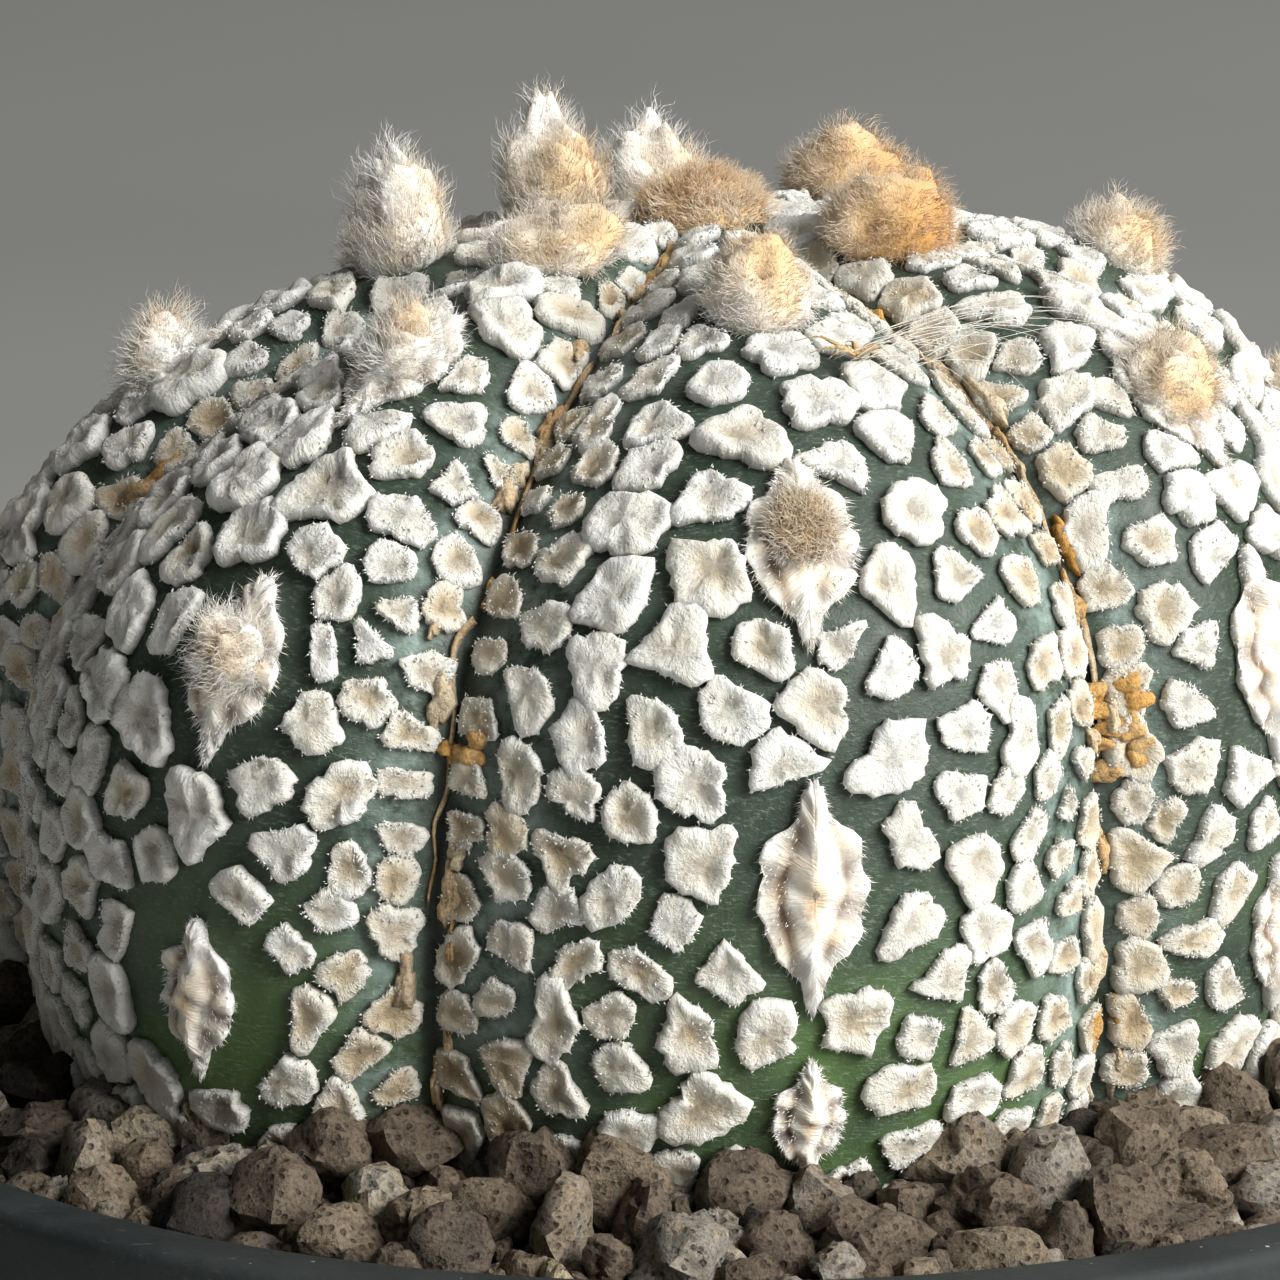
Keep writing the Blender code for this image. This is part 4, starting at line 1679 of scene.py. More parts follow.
    def filled(self, sites: FleckSites, tries: int) -> FleckSites:
        """More sites, tried at random angles, wherever a fleck still finds most of the room that it wants.

        Args:
            sites: the flecks' sites.
            tries: how many new sites are tried.

        Returns:
            The old sites and the new ones that found room.
        """
        shape, chance = self.shape, self.chance
        cosine = chance.uniform(math.cos(shape.soil_line + math.radians(1)), math.cos(math.radians(12)), tries)
        rib = chance.integers(0, shape.ribs, tries)
        across = chance.uniform(-0.9, 0.9, tries) * shape.half_width
        azimuth = shape.front + 2 * shape.half_width * rib + across
        more = FleckSites(rib, np.arccos(cosine), azimuth, chance.uniform(0.55, 0.95, tries))
        ways, clear = self.areole_ways(shape.point(more.polar, more.azimuth))
        more = more.keep((np.linalg.norm(ways, axis=-1) > clear + 0.28 * self.wanted(more)[:, None]).all(1))
        every = FleckSites(*(np.concatenate([getattr(sites, k), getattr(more, k)]) for k in vars(sites)))
        points, want = shape.point(every.polar, every.azimuth), self.wanted(every)
        kept = np.arange(len(points)) < len(sites.rib)
        for k in range(len(sites.rib), len(points)):
            distance = np.linalg.norm(points[kept] - points[k], axis=-1)
            kept[k] = (distance > 0.39 * (want[kept] + want[k])).all()
        return every.keep(kept)

    def outlines(self, sites: FleckSites) -> tuple[np.ndarray, np.ndarray]:
        """Reach of each fleck in each direction round it.

        Half way to each neighbour, less half a gap, a straight edge stops the fleck; at an areole the edge
        is where the clear oval begins. The reach is the smooth minimum over all these edges and the widest
        reach. Sines and a notch or two make it ragged. Many neighbours have only a crack between them. Some
        grow together, most often the ones above each other beside a groove.

        Args:
            sites: the flecks' sites.

        Returns:
            The directions and the reach of every fleck in every direction.
        """
        shape, chance = self.shape, self.chance
        points = shape.point(sites.polar, sites.azimuth)
        right, up, _ = shape.frame(sites.polar, sites.azimuth)
        count = len(points)
        apart = points[None] - points[:, None]
        distance = np.linalg.norm(apart, axis=-1) + 9 * np.eye(count)
        near = np.argsort(distance, axis=1)[:, : self.neighbours]
        apart = np.take_along_axis(apart, near[..., None], axis=1)
        distance = np.take_along_axis(distance, near, axis=1)
        low, high = np.minimum(near, np.arange(count)[:, None]), np.maximum(near, np.arange(count)[:, None])
        lottery = ((low * 7919 + high * 104729) % 1009) / 1009
        upright = np.abs((apart * up[:, None]).sum(-1)) / distance > 0.86
        place = shape.rib_place(sites.polar, sites.azimuth)
        flank = (0.5 * (place[:, None] + place[near]) > 0.5) & (sites.polar[:, None] > math.radians(70))
        fused = lottery < np.where(upright & flank, self.fused_on_flank, self.fused_elsewhere)
        gap = np.where(lottery > self.cracked, self.gap * (0.5 + 1.2 * lottery), self.crack)
        gap = np.where(fused, -self.overlap, gap)
        stop = (distance - gap) / 2
        ways, clear = self.areole_ways(points)
        off = np.linalg.norm(ways, axis=-1)
        stop = np.concatenate([stop, off - clear], axis=1)
        ways = np.concatenate([apart, -ways], axis=1)
        distance = np.concatenate([distance, off], axis=1)
        flat_u = (ways * right[:, None]).sum(-1) / distance
        flat_v = (ways * up[:, None]).sum(-1) / distance
        angle = turns(self.around)
        facing = flat_u[..., None] * np.cos(angle) + flat_v[..., None] * np.sin(angle)
        limit = np.where(facing > 0.05, stop[..., None] / np.maximum(facing, 0.05), 1.0)
        widest = 0.58 * self.wanted(sites) * chance.uniform(0.85, 1.2, count)
        power = self.straightness
        total = (np.maximum(limit, 0.2 * MM) ** -power).sum(1) + (widest**-power)[:, None]
        side = np.linalg.norm(shape.slopes(sites.polar, sites.azimuth)[1], axis=-1)
        middle = shape.front + 2 * shape.half_width * sites.rib
        for sign in (-1, 1):
            room = np.abs(middle + sign * shape.half_width - sites.azimuth) * side
            toward = np.maximum(sign * np.cos(angle)[None], 0.02)
            total += (np.maximum(room - 0.25 * MM, 0.4 * MM)[:, None] / toward) ** -power
        reach = total ** (-1 / power)
        phase = chance.uniform(0, 2 * math.pi, (5, count, 1))
        wild = chance.uniform(0.5, 1.5, (count, 1))
        waves = ((0.05, 2, 4), (0.05, 3, 0), (0.04, 5, 1), (0.035, 8, 2), (0.035, 13, 3))
        ragged = wild * sum(depth * np.sin(times * angle + phase[k]) for depth, times, k in waves)
        for _ in range(2):
            turn = (angle - chance.uniform(0, 2 * math.pi, (count, 1)) + math.pi) % (2 * math.pi) - math.pi
            depth = 0.3 * chance.uniform(0, 1, (count, 1)) ** 2
            ragged -= depth * np.exp(-((turn / chance.uniform(0.2, 0.5, (count, 1))) ** 2))
        return angle, reach * (0.97 + ragged)

    def build(self, material: bpy.types.Material) -> None:
        """Lay out the flecks, then build the pads and the fringe of each rib.

        Args:
            material: finish of the flecks.
        """
        sites = self.sites()
        angle, reach = self.outlines(sites)
        tan = self.fleck_tans(sites)
        log.info("flecks: %d", len(sites.rib))
        for rib in range(self.shape.ribs):
            mine = sites.rib == rib
            part = sites.keep(mine)
            pads = self.pads(f"flecks_{rib + 1}", part, angle, reach[mine], tan[mine])
            pads.build(material, "stem_skin")
            fringe = self.fringe(f"fleck_fringe_{rib + 1}", part, angle, reach[mine], tan[mine])
            fringe.build(material, "stem_skin")

    def fleck_tans(self, sites: FleckSites) -> np.ndarray:
        """How tan each fleck is: mostly pale, tanner by the grooves and low down.

        Args:
            sites: the flecks' sites.

        Returns:
            One value for each fleck, from 0 to about 1.
        """
        count = len(sites.rib)
        place = self.shape.rib_place(sites.polar, sites.azimuth)
        tan = 0.03 + 0.3 * self.chance.uniform(0, 1, count) ** 2
        tan += 0.56 * smooth_rise((place - 0.55) / 0.3) * self.chance.uniform(0.2, 1, count)
        return tan + 0.18 * smooth_rise((sites.polar - math.radians(80)) / math.radians(35))

    def surface(self, sites: FleckSites, u: np.ndarray, v: np.ndarray, out: np.ndarray) -> np.ndarray:
        """Points beside each site, at distances across and up the rib and out of the skin.

        Args:
            sites: the sites to start from.
            u: distances across the rib.
            v: distances up the rib.
            out: distances out of the skin.

        Returns:
            Positions.
        """
        shape = self.shape
        right, up, _ = shape.frame(sites.polar, sites.azimuth)
        extra = (1,) * (u.ndim - 1)
        moves = u[..., None] * right.reshape(right.shape[:1] + extra + (3,))
        moves = moves + v[..., None] * up.reshape(up.shape[:1] + extra + (3,))
        more_polar, more_azimuth = shape.angles_for(sites.polar, sites.azimuth, moves)
        polar = sites.polar.reshape((-1,) + extra) + more_polar
        azimuth = self.hold(sites, sites.azimuth.reshape((-1,) + extra) + more_azimuth, 0.02)
        return shape.point(polar, azimuth, out)

    def pads(self, name: str, sites: FleckSites, angle: np.ndarray, reach: np.ndarray, tan: np.ndarray) -> Piece:
        """Felted pads: a thick lip that overhangs its foot, round a creased and hollow face.

        Inside the lip, the face sinks as the square of the distance from it, and two noises crease it. The
        face is tanner where it lies lower.

        Args:
            name: name of the piece.
            sites: the flecks' sites.
            angle: angles round the middle.
            reach: reach of each fleck at each angle.
            tan: how tan each fleck is.

        Returns:
            The pads as one piece.
        """
        chance, count = self.chance, len(sites.rib)
        profile = np.array([0.26, 0.52, 0.74, 0.9, 0.99, 1.0, 0.9])
        fall = np.array([1.0, 1.0, 1.0, 0.95, 0.68, 0.3, -0.3])[None, :, None]
        face = np.array([1.0, 1.0, 1.0, 0.65, 0.15, 0.0, 0.0])[None, :, None]
        ring = profile[None, :, None]
        hollow = chance.uniform(0.1, 0.75, (count, 1, 1)) * np.clip(1 - ring / 0.8, 0, 1) ** 1.2
        size = reach.mean(1)[:, None, None]
        tall = self.thickness * np.clip(size / (1.5 * MM), 0.8, 1.3)
        radius = ring * reach[:, None]
        u, v = radius * np.cos(angle), radius * np.sin(angle)
        rough = self.surface(sites, u, v, 0 * u)
        crease = cloud_noise(rough, 1.3 * MM, 3, 71)
        ridge = 1 - 2 * np.abs(lattice_noise(rough / (0.8 * MM), 77))
        wavy = 1 + 0.22 * lattice_noise(rough / (1.2 * MM), 83)
        high = wavy - hollow + 0.42 * crease + 0.26 * (ridge - 0.35)
        out = tall * (fall * (1 - face) + face * np.clip(high, 0.15, 1.7))
        points = self.surface(sites, u, v, out)
        feet = self.shape.point(sites.polar, sites.azimuth, -0.3 * self.thickness)
        deep = np.clip(1.05 - high, 0, 1) * np.clip(1.15 - ring, 0, 1) * (0.5 + 1.6 * tan[:, None, None])
        tint = tan[:, None, None] * (0.25 + 1.0 * np.clip(1.1 - ring, 0, 1)) + 0.75 * deep
        orange = np.clip(tan[:, None, None] - 0.42, 0, 1) * 0.5 * np.clip(1.1 - ring, 0, 1) + 0.12 * deep
        shade = np.clip(0.5 - fall, 0, 1) * 0.8 + 0.3 * deep
        tone = np.stack([tint, orange + 0 * u, shade], -1)
        spin = np.cos(angle) * 1.9 * MM + 0 * u, np.sin(angle) * 1.9 * MM + 0 * u, radius * (1.6 - 0.8 * ring)
        grain = np.stack(spin, -1) + chance.uniform(0, 1, (count, 1, 1, 3))
        return shells(name, points, points[:, 0].mean(1), feet, tone, grain)

    def fringe(self, name: str, sites: FleckSites, angle: np.ndarray, reach: np.ndarray, tan: np.ndarray) -> Piece:
        """Short hairs round each fleck's lip and lying on its face, all pointing away from its middle.

        Args:
            name: name of the piece.
            sites: the flecks' sites.
            angle: angles round the middle.
            reach: reach of each fleck at each angle.
            tan: how tan each fleck is.

        Returns:
            The hairs as one piece.
        """
        chance = self.chance
        count = len(sites.rib) * self.fringe_hairs
        which = chance.integers(0, self.around, (len(sites.rib), self.fringe_hairs))
        turn = angle[which] + chance.uniform(-0.08, 0.08, which.shape)
        edge = chance.uniform(0, 1, which.shape) < 0.74
        share = np.where(edge, chance.uniform(0.9, 0.99, which.shape), chance.uniform(0.45, 0.9, which.shape))
        radius = np.take_along_axis(reach, which, axis=1) * share
        lift = np.where(edge, chance.uniform(0.25, 0.98, which.shape), 0.9) * self.thickness
        u, v = radius * np.cos(turn), radius * np.sin(turn)
        roots = self.surface(sites, u, v, lift)
        right, up, normal = self.shape.frame(sites.polar, sites.azimuth)
        heading = turn + chance.normal(0, 0.3, which.shape)
        direction = (
            np.cos(heading)[..., None] * right[:, None]
            + np.sin(heading)[..., None] * up[:, None]
            + np.where(edge, chance.uniform(-0.4, 0.1, which.shape), 0.25)[..., None] * normal[:, None]
        )
        length = chance.uniform(0.1, 0.27, which.shape) * MM
        tone = np.zeros(which.shape + (3,))
        tone[..., 0] = tan[:, None] * 0.4
        width = chance.uniform(0.035, 0.075, which.shape) * MM
        reach_out = unit(direction) * length[..., None]
        return spikes(name, roots.reshape(count, 3), reach_out.reshape(count, 3), width.ravel(), tone.reshape(count, 3))


@dataclass(frozen=True)
class GrooveScales:
    """Papery tan scales that line the grooves: crumpled slips laid along each groove's bottom."""

    shape: StemShape
    per_groove: int = 34
    share_kept: float = 0.66
    seam_steps: int = 26

    def build(self, material: bpy.types.Material, chance: np.random.Generator) -> bpy.types.Object:
        """One closed slip after another down every groove, some of them missing.

        Args:
            material: finish of the piece.
            chance: source of the random draws.

        Returns:
            The linked object.
        """
        shape = self.shape
        groove = np.repeat(np.arange(shape.ribs), self.per_groove)
        count = len(groove)
        step = np.tile(np.arange(self.per_groove), shape.ribs) + chance.uniform(-0.3, 0.3, count)
        polar = math.radians(12) + (shape.soil_line - math.radians(14)) * (step + 0.3) / self.per_groove
        azimuth = shape.front + shape.half_width * (2 * groove + 1) + chance.normal(0, math.radians(1.1), count)
        wanted = chance.uniform(0, 1, count) < self.share_kept
        groove, polar, azimuth = groove[wanted], polar[wanted], azimuth[wanted]
        count = len(groove)
        middle = shape.point(polar, azimuth, 0.25 * MM)
        along = unit(shape.point(polar - 0.02, azimuth) - shape.point(polar + 0.02, azimuth))
        out = unit(middle - np.array([0, 0, shape.equator - 6 * MM]))
        out = unit(out - along * (out * along).sum(-1, keepdims=True))
        right = np.cross(along, out)
        angle = turns(20)
        wide = chance.uniform(0.18, 0.62, (count, 1)) * MM * np.clip(np.sin(polar)[:, None] * 1.2, 0.5, 1)
        tall = chance.uniform(0.45, 1.7, (count, 1)) * MM
        ragged = 1 + 0.22 * np.sin(3 * angle + chance.uniform(0, 6.3, (count, 1)))
        ragged = ragged + 0.16 * np.sin(7 * angle + chance.uniform(0, 6.3, (count, 1)))
        profile = np.array([0.3, 0.65, 0.92, 1.0, 0.9])
        height = np.array([0.32, 0.28, 0.2, 0.08, -0.5]) * MM
        u = profile[None, :, None] * (wide * np.cos(angle) * ragged)[:, None]
        v = profile[None, :, None] * (tall * np.sin(angle) * ragged)[:, None]
        flat = middle[:, None, None] + right[:, None, None] * u[..., None] + along[:, None, None] * v[..., None]
        crumple = cloud_noise(flat, 0.9 * MM, 3, 91) * 0.5 * MM
        rise = height[None, :, None] + np.where(height[None, :, None] > 0, crumple, 0)
        points = flat + out[:, None, None] * rise[..., None]
        depth = np.clip(chance.normal(0.3, 0.3, count), 0, 1)
        tone = np.stack([depth, np.clip(chance.normal(0.13, 0.14, count), 0, 0.6), 0 * depth], -1)
        feet = middle - out * 0.5 * MM
        scales = shells("groove_scales", points, points[:, 0].mean(1), feet, tone[:, None, None], np.zeros(3))
        return joined("groove_scales", [scales, self.seams(chance), self.clusters(chance)]).build(material, "stem_skin")

    def clusters(self, chance: np.random.Generator) -> Piece:
        """Small blocks of orange scale in a few grooves: rounded boxes, laid in short double rows beside the bottom.

        Args:
            chance: source of the random draws.

        Returns:
            The blocks as one piece.
        """
        shape = self.shape
        grooves = {0: (82, 13), 7: (84, 4), 3: (70, 7), 5: (88, 6)}
        groove = np.concatenate([np.full(count, k) for k, (_, count) in grooves.items()])
        order = np.concatenate([np.arange(count) for _, count in grooves.values()])
        start = np.radians(np.concatenate([np.full(count, angle) for angle, count in grooves.values()]))
        count = len(groove)
        polar = start + math.radians(1.25) * (order // 2 - 2.5) + chance.normal(0, math.radians(0.3), count)
        turn = np.radians(np.where(order % 2 == 0, 0.5, 2.1)) + chance.normal(0, math.radians(0.35), count)
        azimuth = shape.front + shape.half_width * (2 * groove + 1) + turn
        right, up, out = shape.frame(polar, azimuth)
        ring = np.array([0.35, 0.75, 0.97, 1.0, 0.97, 0.9])[None, :, None]
        height = np.array([1.0, 0.93, 0.7, 0.4, 0.1, -0.4])[None, :, None] * 0.55 * MM
        angle = turns(14)
        square = (np.abs(np.cos(angle)) ** 3 + np.abs(np.sin(angle)) ** 3) ** (-1 / 3)
        square = square + 0.16 * np.sin(3 * angle + chance.uniform(0, 6.3, (count, 1)))
        half = chance.uniform([0.55, 0.36], [0.85, 0.55], (count, 2)) * MM
        u = ring * (half[:, :1] * square * np.cos(angle))[:, None]
        v = ring * (half[:, 1:] * square * np.sin(angle))[:, None]
        middle = shape.point(polar, azimuth)
        flat = middle[:, None, None] + right[:, None, None] * u[..., None] + up[:, None, None] * v[..., None]
        rise = height + 0.4 * MM * cloud_noise(flat, 0.6 * MM, 2, 93) * (height > 0)
        points = flat + out[:, None, None] * rise[..., None]
        tone = np.stack([chance.uniform(0.6, 1.0, count), chance.uniform(0, 0.15, count), np.zeros(count)], -1)
        feet = middle - out * 0.3 * MM
        return shells("groove_scales", points, points[:, 0].mean(1), feet, tone[:, None, None], np.zeros(3))

    def seams(self, chance: np.random.Generator) -> Piece:
        """Thin woody strips that wander down the bottom of every groove, three to a groove.

        Args:
            chance: source of the random draws.

        Returns:
            The strips as one piece.
        """
        shape = self.shape
        groove = np.repeat(np.arange(shape.ribs), 3)
        count = len(groove)
        start = np.tile(np.radians([14, 42, 70]), shape.ribs) + chance.normal(0, math.radians(4), count)
        length = np.radians(chance.uniform(14, 30, count))
        steps = np.linspace(0, 1, self.seam_steps)
        polar = start[:, None] + length[:, None] * steps[None]
        azimuth = shape.front + shape.half_width * (2 * groove[:, None] + 1) + 0 * polar
        flat = shape.point(polar, azimuth, 0.0)
        wander = cloud_noise(flat, 4 * MM, 2, 95) * math.radians(1.3)
        paths = shape.point(polar, azimuth + wander, 0.2 * MM + 0.12 * MM * cloud_noise(flat, 1.5 * MM, 2, 96))
        tone = np.zeros((count, self.seam_steps, 3))
        tone[..., 0] = np.clip(0.35 + 0.5 * cloud_noise(flat, 2.5 * MM, 2, 97), 0, 1)
        tone[..., 1] = np.clip(0.2 + 0.5 * cloud_noise(flat, 1.8 * MM, 2, 98), 0, 0.7)
        return strands("groove_scales", paths, chance.uniform(0.22, 0.4, count) * MM, tone, 0.6)


# ---------------------------------------------------------------- dried flower


@dataclass(frozen=True)
class FlowerRemnant:
    """Dried slips of an old flower, caught beside the front rib's young areole, and the threads they hold."""

    shape: StemShape
    polar: float = math.radians(49)
    turn: float = math.radians(8)

    def build(self, material: bpy.types.Material, wool: bpy.types.Material, chance: np.random.Generator) -> None:
        """Slips that fan out from one point, then long fine threads across to the next rib.

        Args:
            material: finish of the slips.
            wool: finish of the threads.
            chance: source of the random draws.
        """
        shape = self.shape
        azimuth = shape.front + self.turn
        right, up, out = shape.frame(np.array(self.polar), np.array(azimuth))
        start = shape.point(self.polar, azimuth, 1.0 * MM)
        heads = np.array([2.6, 2.9, 0.35, -0.6, 1.5, 3.3, 0.0]) + 0.2
        lengths = np.array([3.2, 2.4, 1.6, 1.4, 1.2, 2.0, 2.2]) * MM
        count, steps = len(heads), np.linspace(0, 1, 12)
        reach = lengths[:, None] * steps[None]
        paths = (
            start
            + (right * np.cos(heads)[:, None] + up * np.sin(heads)[:, None])[:, None] * reach[..., None]
            + out * (0.5 * MM * np.sin(steps * 3.1)[None] * np.ones((count, 1)))[..., None]
        )
        paths = paths + cloud_noise(paths, 0.9 * MM, 2, 15)[..., None] * 0.25 * MM * steps[None, :, None]
        tone = np.zeros((count, len(steps), 3))
        tone[..., 0] = 0.35 + 0.3 * chance.uniform(0, 1, (count, 1))
        slips = strands("flower_remnant_slips", paths, chance.uniform(0.12, 0.26, count) * MM, tone, 0.85)
        made = slips.build(material, "dried_flower")
        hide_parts("flower_remnant")
        self.threads(wool, chance)

    def threads(self, wool: bpy.types.Material, chance: np.random.Generator) -> None:
        """Fine threads that hang between the remnant and the rib beside it, sagging as a parabola.

        Args:
            wool: finish of the threads.
            chance: source of the random draws.
        """
        shape, count, steps = self.shape, 26, np.linspace(0, 1, 16)
        start_polar = self.polar + chance.normal(0, math.radians(1.5), count)
        start_turn = shape.front + self.turn + chance.normal(0, math.radians(1.6), count)
        end_polar = math.radians(49) + chance.normal(0, math.radians(3.0), count)
        end_turn = shape.front + math.radians(33) + chance.normal(0, math.radians(4.5), count)
        first = shape.point(start_polar, start_turn, 1.0 * MM)
        last = shape.point(end_polar, end_turn, chance.uniform(0.5, 1.6, count) * MM)
        paths = first[:, None] + (last - first)[:, None] * steps[None, :, None]
        lift = shape.frame(np.array(math.radians(47)), np.array(shape.front + math.radians(19)))[2]
        arch = (4 * steps * (1 - steps))[None] * chance.uniform(0.6, 2.2, (count, 1)) * MM
        paths = paths + lift * arch[..., None]
        tone = np.zeros((count, len(steps), 3))
        tone[..., 0] = 0.25
        strands("web_threads", paths, np.full(count, 0.017 * MM), tone, 0.3).build(wool, "areole_wool")


# ---------------------------------------------------------------- soil and stones


def soil_level() -> float:
    """Height of the soil's flat top, a little under the pot's rim."""
    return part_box("pot")[1].z - SOIL_DROP


@dataclass(frozen=True)
class Potting:
    """The soil: it fills the pot, and its crumbly top rises a little towards the stem."""

    shape: StemShape
    columns: int = 384
    taper: float = 13.2 * MM

    def build(self, material: bpy.types.Material) -> bpy.types.Object:
        """Rings from the seat under the stem, over the top, down the pot's wall and under.

        Args:
            material: finish of the piece.

        Returns:
            The linked object.
        """
        shape = self.shape
        lowest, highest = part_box("potting_mix")
        level = soil_level()
        azimuth = shape.front + 2 * math.pi * np.arange(self.columns) / self.columns
        around = np.stack([np.sin(azimuth), -np.cos(azimuth), 0 * azimuth], -1)
        seat = [shape.point(np.array(p), azimuth, 0.3 * MM) for p in np.radians([165, 150, 138, 128, 122])]
        edge = shape.point(np.array(shape.soil_line + math.radians(1)), azimuth, 0.3 * MM)
        outer = around * highest.x + [0, 0, level]
        share = np.linspace(0, 1, 34)[:, None, None]
        top = edge[None] * (1 - share) + outer[None] * share
        top[..., 2] = level + (edge[None, :, 2] - level) * (1 - share[..., 0]) ** 3
        crumbs = cloud_noise(top, 2.4 * MM, 3, 21) + 0.6 * cloud_noise(top, 0.8 * MM, 2, 25)
        top[..., 2] += 0.9 * MM * crumbs * smooth_rise(share[..., 0] * 5) * smooth_rise((1 - share[..., 0]) * 12)
        walls = []
        for height in np.linspace(level - 1.5 * MM, lowest.z + 2.4 * MM, 5):
            fall = (level - height) / (level - lowest.z)
            walls.append(around * (highest.x - fall * self.taper) + [0, 0, height])
        under = around * (highest.x - self.taper - 2.4 * MM) + [0, 0, lowest.z]
        rings = np.concatenate([np.array(seat), top, np.array(walls), under[None]])
        poles = np.array([[0, 0, shape.equator - shape.drop - 0.3 * MM], [0, 0, lowest.z]])
        # The tone's green darkens the soil: partly its own dark colour, partly painted shade of the gaps between the
        # stones.
        piece = closed_disc("potting_soil", rings.reshape(-1, 3), poles, len(rings), self.columns, (0.25, 0.62, 0.0))
        made = piece.build(material, "potting_mix")
        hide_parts("potting_mix")
        return made


@dataclass
class Gravel:
    """The stones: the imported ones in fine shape, more stones round them, and grains between."""

    shape: StemShape
    chance: np.random.Generator
    scattered: int = 330
    grains: int = 1500

    def stones(self, name: str, middles: np.ndarray, halves: np.ndarray, rows: int, around: int) -> Piece:
        """Angular porous stones: spheres cut by random planes, then roughened.

        Args:
            name: name of the piece.
            middles: centre of each stone.
            halves: half sizes of each stone.
            rows: rings between the poles of each stone.
            around: points in each ring.

        Returns:
            All the stones as one piece.
        """
        chance, count = self.chance, len(middles)
        polar = np.linspace(0, math.pi, rows + 2)[:, None]
        angle = turns(around)[None]
        ball = np.stack([np.sin(polar) * np.cos(angle), np.sin(polar) * np.sin(angle), np.cos(polar) + 0 * angle], -1)
        ball = np.concatenate([ball[1:-1].reshape(-1, 3), [[0, 0, 1], [0, 0, -1]]])
        planes = unit(chance.normal(0, 1, (count, 8, 3)))
        cut = chance.uniform(0.55, 0.95, (count, 8))
        facing = np.einsum("pj,nkj->npk", ball, planes)
        reach = np.minimum(1.0, (cut[:, None] / np.maximum(facing, 0.05)).min(-1))
        spot = ball[None] * reach[..., None] + chance.uniform(0, 50, (count, 1, 3))
        rough = 0.24 * cloud_noise(spot, 1.1, 4, 33) + 0.1 * (1 - 2 * np.abs(lattice_noise(spot * 3.2, 36)))
        pits = np.clip(lattice_noise(spot * 4.5, 39) - 0.25, 0, 1) * 0.3
        shape = ball[None] * (reach + rough - pits)[..., None]
        tilt = chance.uniform(-0.6, 0.6, (count, 1))
        spun = shape.copy()
        spun[..., 0] = shape[..., 0] * np.cos(tilt) - shape[..., 2] * np.sin(tilt)
        spun[..., 2] = shape[..., 0] * np.sin(tilt) + shape[..., 2] * np.cos(tilt)
        points = middles[:, None] + spun * halves[:, None]
        kinds = [0.06, 0.3, 0.4, 0.45, 0.5, 0.6, 0.74, 0.92]
        kind = np.clip(chance.choice(kinds, count) + chance.normal(0, 0.05, count), 0, 1)
        tone = np.stack([kind, np.zeros(count), np.zeros(count)], -1)
        tones = np.repeat(tone, len(ball), axis=0)
        # the green tone darkens the pits: painted shade
        tones[:, 1] = np.clip(pits.ravel() * 3, 0, 0.5)
        return Piece(name, points.reshape(-1, 3), *shell_faces(rows, around, count), tones)

    def edges(self, azimuth: np.ndarray, polar: float) -> np.ndarray:
        """Radius of the stem's outside at a polar angle, for true azimuths.

        Args:
            azimuth: true azimuths.
            polar: angle from the crown.

        Returns:
            The radius at each azimuth.
        """
        sampled = self.shape.front + np.linspace(-math.pi, math.pi, 721)
        ring = self.shape.point(np.array(polar), sampled)
        true = np.unwrap(np.arctan2(ring[:, 0], -ring[:, 1]))
        radius = np.hypot(ring[:, 0], ring[:, 1])
        return np.interp((azimuth - true[0]) % (2 * math.pi) + true[0], true, radius)

    def scatter(
        self, count: int, low: float, high: float, lift: float, bias: float, spare: np.ndarray
    ) -> tuple[np.ndarray, np.ndarray]:
        """Places for loose stones between stem and rim, none of them sunk into another.

        Args:
            count: how many places are tried.
            low: least half size.
            high: greatest half size.
            lift: extra height of the pile beside the stem.
            bias: power that draws the places to the rim when it is under one.
            spare: centres and half sizes of the stones already there, as rows of four numbers.

        Returns:
            Centres, and half sizes on each axis.
        """
        chance = self.chance
        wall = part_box("potting_mix")[1].x
        level = soil_level()
        azimuth = chance.uniform(-math.pi, math.pi, count)
        size = low + (high - low) * chance.uniform(0, 1, count) ** 1.6
        inner = self.edges(azimuth, math.radians(116)) + size * 0.6
        outer = wall - size * 0.85
        share = chance.uniform(0, 1, count) ** bias
        radius = inner + (outer - inner) * share
        height = level + size * chance.uniform(0.2, 0.9, count) + lift * (1 - share) ** 1.5
        middles = np.stack([radius * np.sin(azimuth), -radius * np.cos(azimuth), height], -1)
        kept: list[int] = []
        taken = spare.copy()
        for k in np.argsort(-size):
            if outer[k] < inner[k]:
                continue
            room = np.linalg.norm(taken[:, :3] - middles[k], axis=-1) - 0.76 * (taken[:, 3] + size[k])
            if room.min(initial=1.0) > 0:
                kept.append(k)
                taken = np.concatenate([taken, [[*middles[k], size[k]]]])
        chosen = np.array(kept)
        halves = size[chosen, None] * chance.uniform(0.72, 1.3, (len(chosen), 3))
        return middles[chosen], halves

